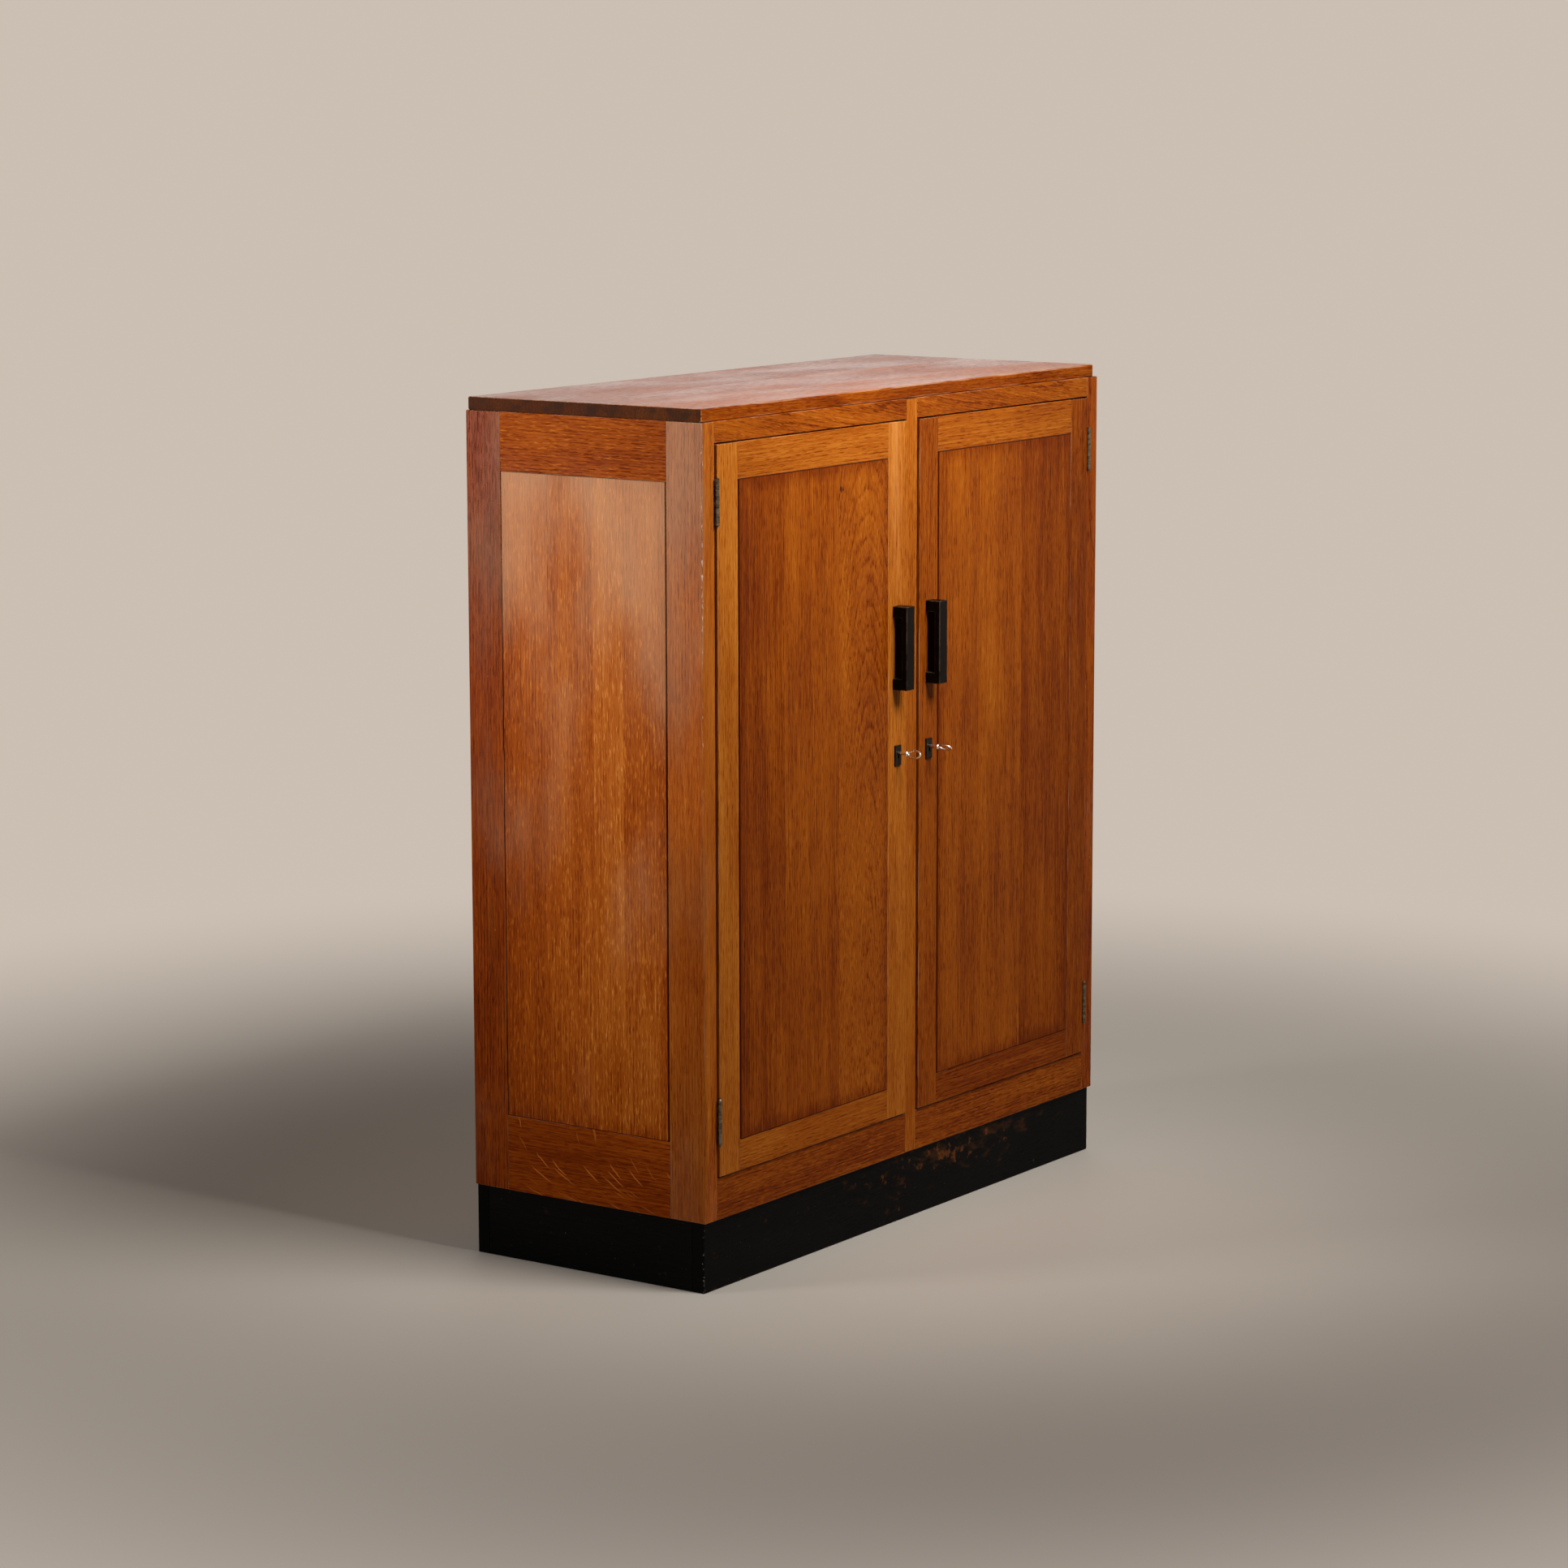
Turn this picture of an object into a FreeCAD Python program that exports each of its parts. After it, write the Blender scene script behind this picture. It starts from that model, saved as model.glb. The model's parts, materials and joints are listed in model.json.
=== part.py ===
import FreeCAD, Part
import os
import re
import Sketcher

# Two-door oak archive cabinet on a black plinth, in millimetres.
# X runs along the front, Y from front to back, Z up; the origin is on the floor
# under the middle of the whole cabinet, its keys included.

doc = FreeCAD.newDocument("archive_cabinet")
sheet = doc.addObject("Spreadsheet::Sheet", "Sizes")

# Driving dimensions of the carcass: body, plinth, top board and side frames.
carcass_sizes = {
    "body_width": 1000,
    "body_depth": 395,
    "body_height": 1079,
    "plinth_height": 98,
    "plinth_thick": 20,
    "plinth_side_inset": 3,
    "plinth_front_inset": 4.5,
    "plinth_back_inset": 1,
    "corner_block_width": 30,
    "corner_block_short": 8,
    "top_thick": 18,
    "top_side_inset": 4.5,
    "top_front_inset": 4.5,
    "top_edge_round": 2,
    "side_stile_width": 58.5,
    "side_stile_thick": 28,
    "side_rail_thick": 24,
    "side_top_rail_height": 80,
    "side_bottom_rail_height": 106,
    "front_frame_depth": 28,
    "front_top_rail_height": 28,
    "front_bottom_rail_height": 58,
    "mullion_width": 28,
    "tenon_thick": 9,
    "tenon_length": 11,
    "stop_lip": 8,
    "stop_clear": 0.3,
    "partition_thick": 20,
    "floor_thick": 18,
    "back_thick": 8,
    "back_rebate_width": 10,
    "back_panel_gap": 0.4,
    "back_rail_height": 56,
    "back_rail_thick": 20,
    "shelf_thick": 20,
    "shelf_setback": 20,
    "shelf_play": 0.5,
    "batten_height": 20,
    "batten_thick": 14,
}

# Framed panels: a tongue all round the panel sits in a groove of its frame.
panel_sizes = {
    "groove_width": 6,
    "groove_depth": 8,
    "groove_setback": 8,
    "tongue_clear": 1,
    "panel_proud": 0.8,
    "panel_side_gap": 1.2,
    "panel_end_gap": 0.3,
}

# Doors, butt hinges and pull handles.
door_sizes = {
    "door_thick": 22,
    "door_proud": 3,
    "door_side_gap": 2.2,
    "door_top_gap": 1.8,
    "door_bottom_gap": 1.8,
    "door_stile_width": 47,
    "door_top_rail_height": 49,
    "door_bottom_rail_height": 43,
    "hinge_height": 60,
    "hinge_inset": 46,
    "hinge_axis_proud": 1,
    "leaf_thick": 1.5,
    "leaf_width": 18,
    "leaf_clear": 0.4,
    "knuckle_radius": 3,
    "knuckle_clear": 0.3,
    "knuckle_gap": 0.3,
    "pin_radius": 1.5,
    "pin_clear": 0.05,
    "pin_tip_length": 2.5,
    "pin_tip_radius": 1.2,
    "handle_lift": 79.8,
    "handle_backset": 25.8,
    "handle_length": 118,
    "handle_width": 20,
    "handle_depth": 24,
    "handle_foot": 16,
    "handle_grip_thick": 9,
    "handle_hollow": 5.5,
    "handle_round": 1.6,
    "screw_radius": 1.9,
    "screw_clear": 0.1,
    "screw_bite": 11,
    "screw_head_radius": 4,
    "screw_head_thick": 2.2,
}

# Locks: the key's bit swings in a notch of the bolt and throws it into the mullion.
lock_sizes = {
    "key_height": 681.6,
    "escutcheon_width": 15.5,
    "escutcheon_height": 28.8,
    "escutcheon_thick": 2.5,
    "escutcheon_drop": 3.5,
    "escutcheon_bevel": 0.7,
    "keyhole_clear": 0.5,
    "lock_web": 2,
    "lock_case_height": 46,
    "lock_case_depth": 11,
    "lock_case_drop": 32,
    "lock_wall": 1.5,
    "selvedge_thick": 2,
    "selvedge_reach": 9,
    "bolt_tail_room": 1,
    "bolt_height": 14,
    "bolt_thick": 6,
    "bolt_setback": 2,
    "bolt_shank_clear": 0.9,
    "bolt_sink": 4.5,
    "bolt_throw": 12.6,
    "bolt_clear": 0.15,
    "notch_back": 6,
    "notch_width": 6.4,
    "notch_tail": 1.8,
    "notch_floor_clear": 1.4,
    "strike_thick": 1.2,
    "strike_height": 44,
    "strike_clear": 0.6,
    "strike_hole_depth": 9,
    "key_shank_radius": 2.5,
    "key_shank_reach": 15,
    "key_shank_clear": 0.05,
    "key_tip_short": 0.5,
    "key_collar_radius": 3.6,
    "key_collar_thick": 2.5,
    "key_bow_length": 22.5,
    "key_bow_width": 14,
    "key_bow_wire": 2.6,
    "key_bit_length": 7.5,
    "key_bit_thick": 2,
    "key_bit_depth": 5,
    "key_bit_clear": 0.5,
    "key_sweep": 125,
    "key_back_angle": 60,
    "left_key_lean": 20,
    "right_key_lean": 48,
}

# Places that several pieces share, worked out in the sheet from the sizes above.
# A "near" value is a distance inwards from the outer face of the left or right side.
shared_places = {
    "front": "(door_proud + escutcheon_thick + key_shank_reach + key_bow_length - body_depth) / 2",
    "back": "front + body_depth",
    "back_face": "back - back_thick",
    "body_top": "plinth_height + body_height",
    "frame_back": "front + front_frame_depth",
    "opening_bottom": "plinth_height + front_bottom_rail_height",
    "opening_top": "body_top - front_top_rail_height",
    "floor_top": "opening_bottom + stop_lip",
    "lip_bottom": "opening_top - stop_lip",
    "mullion_near": "body_width / 2 - mullion_width / 2",
    "partition_near": "body_width / 2 - partition_thick / 2",
    "shelf_pitch": "(lip_bottom - floor_top + shelf_thick) / 3",
    "shelf_front": "frame_back + shelf_setback",
    "door_front": "front - door_proud",
    "door_back": "door_front + door_thick",
    "door_bottom": "opening_bottom + door_bottom_gap",
    "door_top": "opening_top - door_top_gap",
    "hinge_edge_near": "side_stile_thick + door_side_gap",
    "lock_edge_near": "mullion_near - door_side_gap",
    "hinge_axis_near": "side_stile_thick + door_side_gap / 2",
    "hinge_axis_back": "door_front - hinge_axis_proud",
    "lower_hinge_bottom": "door_bottom + hinge_inset",
    "upper_hinge_bottom": "door_top - hinge_inset - hinge_height",
    "lock_case_width": "door_stile_width - groove_depth - lock_web",
    "bolt_tail": "lock_case_width - lock_wall - bolt_tail_room",
    "bolt_length": "bolt_tail - bolt_sink",
    "lock_backset": "bolt_tail - notch_tail - notch_width / 2 - notch_back",
    "lock_axis_near": "lock_edge_near - lock_backset",
    "lock_front": "door_back - lock_case_depth",
    "lock_bottom": "key_height - lock_case_drop",
    "bolt_front": "lock_front + bolt_setback",
    "bolt_drop": "key_shank_radius + bolt_shank_clear",
    "bolt_bottom": "key_height - bolt_drop - bolt_height",
    "notch_depth": "key_bit_length - bolt_drop + notch_floor_clear",
    "strike_bottom": "bolt_bottom + bolt_height / 2 - strike_height / 2",
    "handle_bottom": "key_height - escutcheon_drop + escutcheon_height / 2 + handle_lift",
    "handle_axis_near": "lock_edge_near - handle_backset",
    "handle_center_height": "handle_bottom + handle_length / 2",
    "handle_foot_rise": "handle_length / 2 - handle_foot / 2",
}

row = 0
for group in (carcass_sizes, panel_sizes, door_sizes, lock_sizes):
    for alias, value in group.items():
        row += 1
        sheet.set("A%d" % row, alias)
        sheet.set("B%d" % row, str(value))
        sheet.setAlias("B%d" % row, alias)
for alias, formula in shared_places.items():
    row += 1
    sheet.set("A%d" % row, alias)
    sheet.setAlias("B%d" % row, alias)
    sheet.set("B%d" % row, "=" + formula)
doc.recompute()

aliases = set(carcass_sizes) | set(panel_sizes) | set(door_sizes) | set(lock_sizes) | set(shared_places)
nodes = {}
SIDES = ("left", "right")
SHELF_LEVELS = (1, 2)
KNUCKLES = 5
OFF_SEAT = 0.01


def sized(text):
    """The same formula with every size named as a cell of the sheet."""
    def cell(word):
        return "Sizes." + word.group(0) if word.group(0) in aliases else word.group(0)
    return re.sub(r"[a-z_]+", cell, text)


def bind(piece, prop, text):
    piece.setExpression(prop, sized(text))


def place(piece, at):
    for axis, text in zip("xyz", at):
        bind(piece, "Placement.Base." + axis, text)


def x_from(side, near, size):
    """Low X of a piece that starts near millimetres in from the side's outer face."""
    if side == "left":
        return "-body_width / 2 + (%s)" % near
    return "body_width / 2 - (%s) - (%s)" % (near, size)


def x_on(side, near):
    return x_from(side, near, "0")


def block(at, size):
    """A squared board or cut, by its low corner and its size."""
    box = doc.addObject("Part::Box", "block")
    for prop, text in zip(("Length", "Width", "Height"), size):
        bind(box, prop, text)
    place(box, at)
    return box


def side_block(side, near, deep, rise, size):
    """A block placed by its distance in from one side's outer face."""
    return block((x_from(side, near, size[0]), deep, rise), size)


TURNS = {
    "y": FreeCAD.Rotation(FreeCAD.Vector(1, 0, 0), -90),
    "z": FreeCAD.Rotation(),
}


def rod(at, along, radius, length):
    """A round bar or bore that runs from a point along Y or Z."""
    bar = doc.addObject("Part::Cylinder", "rod")
    bind(bar, "Radius", radius)
    bind(bar, "Height", length)
    bar.Placement = FreeCAD.Placement(FreeCAD.Vector(), TURNS[along])
    place(bar, at)
    return bar


def joined(pieces):
    if len(pieces) == 1:
        return pieces[0]
    fuse = doc.addObject("Part::MultiFuse", "joined")
    fuse.Shapes = pieces
    fuse.Refine = True
    return fuse


def trimmed(base, cuts):
    cut = doc.addObject("Part::Cut", "trimmed")
    cut.Base = base
    cut.Tool = joined(cuts)
    cut.Refine = True
    return cut


def grouped(pieces):
    group = doc.addObject("Part::Compound", "grouped")
    group.Links = pieces
    return group


def node(name, piece):
    piece.Label = name
    nodes[name] = piece
    return piece


def plane(body, role):
    return next(feature for feature in body.Origin.OriginFeatures if feature.Role == role)


def outline(body, role, points):
    """A closed sketch of straight lines, each corner held by two sizes from the origin."""
    sketch = body.newObject("Sketcher::SketchObject", "outline")
    sketch.AttachmentSupport = (plane(body, role), [""])
    sketch.MapMode = "FlatFace"
    corners = [[float(sheet.evalExpression(sized(text))) for text in point] for point in points]
    for start, end in zip(corners, corners[1:] + corners[:1]):
        sketch.addGeometry(Part.LineSegment(FreeCAD.Vector(*start), FreeCAD.Vector(*end)), False)
    for index in range(len(points)):
        following = (index + 1) % len(points)
        sketch.addConstraint(Sketcher.Constraint("Coincident", index, 2, following, 1))
    for index, (corner, point) in enumerate(zip(corners, points)):
        for kind, value, text in zip(("DistanceX", "DistanceY"), corner, point):
            held = sketch.addConstraint(Sketcher.Constraint(kind, -1, 1, index, 1, value))
            bind(sketch, "Constraints[%d]" % held, text)
    return sketch


def pad(body, sketch, length):
    feature = body.newObject("PartDesign::Pad", "pad")
    feature.Profile = sketch
    bind(feature, "Length", length)
    return feature


EASINGS = {"round": ("PartDesign::Fillet", "Radius"), "bevel": ("PartDesign::Chamfer", "Size")}


def ease_edges(body, base, easing, size, chosen):
    """Rounds or bevels the edges of the base feature that the chosen test picks."""
    doc.recompute()
    names = ["Edge%d" % (index + 1) for index, edge in enumerate(base.Shape.Edges) if chosen(edge)]
    kind, measure = EASINGS[easing]
    feature = body.newObject(kind, "eased_edges")
    feature.Base = (base, names)
    bind(feature, measure, size)
    return feature


# Plinth: four black boards butted at the corners, with glued blocks inside.
plinth_front = "front + plinth_front_inset"
plinth_back = "back - plinth_back_inset"
plinth_run = "body_width - 2 * plinth_side_inset"
node("plinth_front_board", side_block(
    "left", "plinth_side_inset", plinth_front, "0", (plinth_run, "plinth_thick", "plinth_height")))
node("plinth_back_board", side_block(
    "left", "plinth_side_inset", plinth_back + " - plinth_thick", "0",
    (plinth_run, "plinth_thick", "plinth_height")))
plinth_inner_front = plinth_front + " + plinth_thick"
plinth_inner_back = plinth_back + " - plinth_thick"
corner_blocks = []
for side in SIDES:
    node("plinth_%s_board" % side, side_block(
        side, "plinth_side_inset", plinth_inner_front, "0",
        ("plinth_thick", "(%s) - (%s)" % (plinth_inner_back, plinth_inner_front), "plinth_height")))
    block_size = ("corner_block_width", "corner_block_width", "plinth_height - corner_block_short")
    for deep in (plinth_inner_front, plinth_inner_back + " - corner_block_width"):
        corner_blocks.append(side_block(
            side, "plinth_side_inset + plinth_thick", deep, "corner_block_short", block_size))
node("plinth_corner_blocks", grouped(corner_blocks))


def framed_rail(thick_span, long_span, rise, height, groove_rise, tenon_rise, side):
    """A rail between two stiles: its tongues sit in the stiles' grooves, and one edge is grooved."""
    near, thick = thick_span
    start, length, along = long_span
    groove_near = near + " + groove_setback"
    tongue_height = "(%s) - groove_depth" % height
    if along == "y":
        body = side_block(side, near, start, rise, (thick, length, height))
        tongue = side_block(side, groove_near, "(%s) - groove_depth" % start, tenon_rise,
                            ("groove_width", "(%s) + 2 * groove_depth" % length, tongue_height))
        groove = side_block(side, groove_near, start, groove_rise, ("groove_width", length, "groove_depth"))
    else:
        deep = "(%s) + groove_setback" % near
        body = side_block(side, start, near, rise, (length, thick, height))
        tongue = side_block(side, "(%s) - groove_depth" % start, deep, tenon_rise,
                            ("(%s) + 2 * groove_depth" % length, "groove_width", tongue_height))
        groove = side_block(side, start, deep, groove_rise, (length, "groove_width", "groove_depth"))
    return joined([trimmed(body, [groove]), tongue])


# Sides: each a frame of two stiles and two rails round a flush panel.
stile_inner_front = "front + side_stile_width"
stile_inner_back = "back - side_stile_width"
side_run = "body_depth - 2 * side_stile_width"
side_panel_bottom = "plinth_height + side_bottom_rail_height"
side_panel_top = "body_top - side_top_rail_height"
mortise_deep = "front + tenon_thick"
mortise_size = ("tenon_length", "tenon_thick")
leaf_front = "hinge_axis_back + knuckle_radius + knuckle_clear"
frame_leaf_near = "hinge_axis_near - leaf_clear / 2 - leaf_thick"
door_leaf_near = "hinge_axis_near + leaf_clear / 2"
hinge_bottoms = ("lower_hinge_bottom", "upper_hinge_bottom")
tenon_rises = (("plinth_height", "front_bottom_rail_height"), ("opening_top", "front_top_rail_height"))

for side in SIDES:
    stile_size = ("side_stile_thick", "side_stile_width", "body_height")
    groove_size = ("groove_width", "groove_depth", "body_height")
    cuts = [side_block(side, "groove_setback", stile_inner_front + " - groove_depth", "plinth_height",
                       groove_size)]
    for rise, height in tenon_rises:
        cuts.append(side_block(side, "side_stile_thick - tenon_length", mortise_deep, rise,
                               mortise_size + (height,)))
    for rise in hinge_bottoms:
        cuts.append(side_block(side, frame_leaf_near, leaf_front, rise,
                               ("leaf_thick", "leaf_width", "hinge_height")))
    front_stile = side_block(side, "0", "front", "plinth_height", stile_size)
    node(side + "_side_front_stile", trimmed(front_stile, cuts))

    rear_stile = side_block(side, "0", stile_inner_back, "plinth_height", stile_size)
    node(side + "_side_rear_stile", trimmed(rear_stile, [
        side_block(side, "groove_setback", stile_inner_back, "plinth_height", groove_size),
        side_block(side, "side_stile_thick - back_rebate_width", "back_face", "plinth_height",
                   ("back_rebate_width", "back_thick", "body_height")),
    ]))

    run = (stile_inner_front, side_run, "y")
    node(side + "_side_top_rail", framed_rail(
        ("0", "side_rail_thick"), run, side_panel_top, "side_top_rail_height",
        side_panel_top, side_panel_top + " + groove_depth", side))
    node(side + "_side_bottom_rail", framed_rail(
        ("0", "side_rail_thick"), run, "plinth_height", "side_bottom_rail_height",
        side_panel_bottom + " - groove_depth", "plinth_height", side))

    panel_height = "(%s) - (%s)" % (side_panel_top, side_panel_bottom)
    field = side_block(side, "-panel_proud", stile_inner_front + " + panel_side_gap",
                       side_panel_bottom + " + panel_end_gap",
                       ("panel_proud + groove_setback", side_run + " - 2 * panel_side_gap",
                        panel_height + " - 2 * panel_end_gap"))
    tongue = side_block(side, "groove_setback", stile_inner_front + " - groove_depth + tongue_clear",
                        side_panel_bottom + " - groove_depth + tongue_clear",
                        ("groove_width", side_run + " + 2 * (groove_depth - tongue_clear)",
                         panel_height + " + 2 * (groove_depth - tongue_clear)"))
    node(side + "_side_panel", joined([field, tongue]))

# Front frame: a full-height mullion, and rails tenoned between it and the side stiles.
# A lip behind each rail is the stop that the closed door rests against.
rail_run = "mullion_near - side_stile_thick"
lip_front = "door_back + stop_clear"
lip_depth = "frame_back - (%s)" % lip_front
for side in SIDES:
    for name, rise, height, lip_rise in (
        ("top", "opening_top", "front_top_rail_height", "lip_bottom"),
        ("bottom", "plinth_height", "front_bottom_rail_height", "opening_bottom"),
    ):
        rail = side_block(side, "side_stile_thick", "front", rise, (rail_run, "front_frame_depth", height))
        lip = side_block(side, "side_stile_thick", lip_front, lip_rise, (rail_run, lip_depth, "stop_lip"))
        tenon = side_block(side, "side_stile_thick - tenon_length", mortise_deep, rise,
                           (rail_run + " + 2 * tenon_length", "tenon_thick", height))
        node("front_%s_%s_rail" % (side, name), joined([rail, lip, tenon]))

bolt_hole = ("strike_hole_depth", "bolt_thick + 2 * strike_clear", "bolt_height + 2 * strike_clear")
bolt_hole_deep = "bolt_front - strike_clear"
bolt_hole_rise = "bolt_bottom - strike_clear"
mullion_cuts = []
strikes = []
for side in SIDES:
    for rise, height in tenon_rises:
        mullion_cuts.append(side_block(side, "mullion_near", mortise_deep, rise, mortise_size + (height,)))
    strike = ("mullion_near", "lock_front", "strike_bottom",
              ("strike_thick", "lock_case_depth", "strike_height"))
    hole = ("mullion_near", bolt_hole_deep, bolt_hole_rise, bolt_hole)
    mullion_cuts.append(side_block(side, *strike))
    mullion_cuts.append(side_block(side, *hole))
    strikes.append(trimmed(side_block(side, *strike), [side_block(side, *hole)]))
mullion = side_block("left", "mullion_near", "front", "plinth_height",
                     ("mullion_width", "front_frame_depth", "body_height"))
node("front_mullion", trimmed(mullion, mullion_cuts))
node("strike_plates", grouped(strikes))

# Top board: one slab set in a little from the body, its upper and upright edges eased.
top_body = doc.addObject("PartDesign::Body", "top_board")
top_half = "body_width / 2 - top_side_inset"
top_depth = "body_depth - top_front_inset"
top_sketch = outline(top_body, "XY_Plane", [
    ("-(%s)" % top_half, "0"), (top_half, "0"), (top_half, top_depth), ("-(%s)" % top_half, top_depth)])
top_pad = pad(top_body, top_sketch, "top_thick")
ease_edges(top_body, top_pad, "round", "top_edge_round", lambda edge: edge.BoundBox.ZMax > OFF_SEAT)
place(top_body, ("0", "front + top_front_inset", "body_top"))
node("top_board", top_body)

# Inside: floor board, partition behind the mullion, back rail and two back panels.
inner_width = "body_width - 2 * side_stile_thick"
inner_depth = "back_face - frame_back"
node("floor_board", side_block(
    "left", "side_stile_thick", "frame_back", "floor_top - floor_thick",
    (inner_width, inner_depth, "floor_thick")))
back_rail = ("side_stile_thick", "back_face - back_rail_thick", "body_top - back_rail_height",
             (inner_width, "back_rail_thick", "back_rail_height"))
node("back_top_rail", side_block("left", *back_rail))
partition = side_block("left", "partition_near", "frame_back", "floor_top",
                       ("partition_thick", inner_depth, "body_top - floor_top"))
node("partition", trimmed(partition, [side_block("left", *back_rail)]))

# Shelves rest on battens screwed to the side stiles and to the partition.
shelf_depth = "back_face - shelf_front"
shelf_near = "side_stile_thick + shelf_play"
bay_width = "partition_near - side_stile_thick"
battens = []
for side in SIDES:
    back_near = "side_stile_thick - back_rebate_width"
    node(side + "_back_panel", side_block(
        side, back_near, "back_face", "plinth_height",
        ("body_width / 2 - back_panel_gap / 2 - (%s)" % back_near, "back_thick", "body_height")))
    batten_size = ("batten_thick", shelf_depth, "batten_height")
    batten_rises = ["floor_top - floor_thick - batten_height"]
    for level in SHELF_LEVELS:
        shelf_bottom = "floor_top + %d * shelf_pitch - shelf_thick" % level
        node("%s_shelf_%d" % (side, level), side_block(
            side, shelf_near, "shelf_front", shelf_bottom,
            (bay_width + " - 2 * shelf_play", shelf_depth, "shelf_thick")))
        batten_rise = shelf_bottom + " - batten_height"
        batten_rises.append(batten_rise)
        battens.append(side_block(side, "partition_near - batten_thick", "shelf_front", batten_rise,
                                  batten_size))
    for batten_rise in batten_rises:
        battens.append(side_block(side, "side_stile_thick", "shelf_front", batten_rise, batten_size))
node("shelf_battens", grouped(battens))


def hinge_leaves(side, leaf_near, own_knuckles):
    """One leaf of each of a door's two butt hinges, with its share of the knuckles."""
    leaves = []
    knuckle_pitch = "hinge_height / %d" % KNUCKLES
    axis_x = x_on(side, "hinge_axis_near")
    for bottom in hinge_bottoms:
        pieces = [side_block(side, leaf_near, leaf_front, bottom,
                             ("leaf_thick", "leaf_width", "hinge_height"))]
        for index in own_knuckles:
            rise = "%s + %d * %s + knuckle_gap / 2" % (bottom, index, knuckle_pitch)
            length = knuckle_pitch + " - knuckle_gap"
            pieces.append(rod((axis_x, "hinge_axis_back", rise), "z", "knuckle_radius", length))
            pieces.append(side_block(side, leaf_near, "hinge_axis_back", rise,
                                     ("leaf_thick", "knuckle_radius + knuckle_clear", length)))
        bore = rod((axis_x, "hinge_axis_back", bottom), "z", "pin_radius + pin_clear", "hinge_height")
        leaves.append(trimmed(joined(pieces), [bore]))
    return grouped(leaves)


def hinge_pin(side, bottom):
    """A turned pin that runs through the knuckles, with a button tip at each end."""
    body = doc.addObject("PartDesign::Body", "hinge_pin")
    top = "hinge_height"
    sketch = outline(body, "XZ_Plane", [
        ("0", "-pin_tip_length"), ("pin_tip_radius", "-pin_tip_length"),
        ("knuckle_radius", "-pin_tip_length / 3"), ("knuckle_radius", "0"), ("pin_radius", "0"),
        ("pin_radius", top), ("knuckle_radius", top), ("knuckle_radius", top + " + pin_tip_length / 3"),
        ("pin_tip_radius", top + " + pin_tip_length"), ("0", top + " + pin_tip_length")])
    turned = body.newObject("PartDesign::Revolution", "turned_pin")
    turned.Profile = sketch
    turned.ReferenceAxis = (sketch, ["V_Axis"])
    turned.Angle = 360
    place(body, (x_on(side, "hinge_axis_near"), "hinge_axis_back", bottom))
    return body


def pull_handle(side):
    """A squared black bar that stands on the door, with its outer edges eased."""
    body = doc.addObject("PartDesign::Body", "handle_bar")
    half = "handle_length / 2"
    sketch = outline(body, "YZ_Plane", [
        ("0", "-" + half), ("-handle_depth", "-" + half), ("-handle_depth", half), ("0", half)])
    bar = pad(body, sketch, "handle_width")
    ease_edges(body, bar, "round", "handle_round", lambda edge: edge.BoundBox.YMin < -OFF_SEAT)
    place(body, (x_on(side, "handle_axis_near") + " - handle_width / 2", "door_front",
                 "handle_center_height"))
    return body


def finger_hollows(side):
    """Cuts along both sides of a handle that leave a grip, a neck and two full feet."""
    size = ("handle_hollow", "handle_depth - handle_grip_thick", "handle_length - 2 * handle_foot")
    return [
        block((x_on(side, "handle_axis_near") + shift, "door_front - handle_depth + handle_grip_thick",
               "handle_bottom + handle_foot"), size)
        for shift in (" - handle_width / 2", " + handle_width / 2 - handle_hollow")]


def screw_bores(side, radius, start, length):
    """Bars on the axes of a handle's two screws, for the screws and for their holes."""
    bars = []
    for rise in ("handle_center_height - handle_foot_rise", "handle_center_height + handle_foot_rise"):
        bars.append(rod((x_on(side, "handle_axis_near"), start, rise), "y", radius, length))
    return bars


def escutcheon_plate(side):
    """A small black plate round the keyhole, with bevelled front edges."""
    body = doc.addObject("PartDesign::Body", "escutcheon_plate")
    half = "escutcheon_width / 2"
    low = "-escutcheon_height / 2 - escutcheon_drop"
    high = "escutcheon_height / 2 - escutcheon_drop"
    sketch = outline(body, "XZ_Plane", [("-" + half, low), (half, low), (half, high), ("-" + half, high)])
    plate = pad(body, sketch, "escutcheon_thick")
    ease_edges(body, plate, "bevel", "escutcheon_bevel", lambda edge: edge.BoundBox.YMax < -OFF_SEAT)
    place(body, (x_on(side, "lock_axis_near"), "door_front", "key_height"))
    return body


def keyhole(side, start, length):
    """The cut that lets the key through: a round hole with the bit's slot below it."""
    axis_x = x_on(side, "lock_axis_near")
    slot_width = "(key_bit_thick + 2 * key_bit_clear)"
    slot_drop = "(key_bit_length + key_bit_clear)"
    return [
        rod((axis_x, start, "key_height"), "y", "key_shank_radius + keyhole_clear", length),
        block((axis_x + " - %s / 2" % slot_width, start, "key_height - " + slot_drop),
              (slot_width, length, slot_drop)),
    ]


def oval_disc(length, width):
    """An elliptical disc in the plane of the key's bow, as thick as its wire."""
    line = doc.addObject("Part::Ellipse", "oval_line")
    bind(line, "MajorRadius", "(%s) / 2" % length)
    bind(line, "MinorRadius", "(%s) / 2" % width)
    line.Placement.Rotation = FreeCAD.Rotation(
        FreeCAD.Vector(0, 1, 0), FreeCAD.Vector(0, 0, 1), FreeCAD.Vector(1, 0, 0))
    place(line, ("-key_bow_wire / 2", "-(key_shank_reach + key_bow_length / 2)", "0"))
    disc = doc.addObject("Part::Extrusion", "oval_disc")
    disc.Base = line
    disc.DirMode = "Custom"
    disc.Dir = FreeCAD.Vector(1, 0, 0)
    bind(disc, "LengthFwd", "key_bow_wire")
    disc.Solid = True
    return disc


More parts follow.
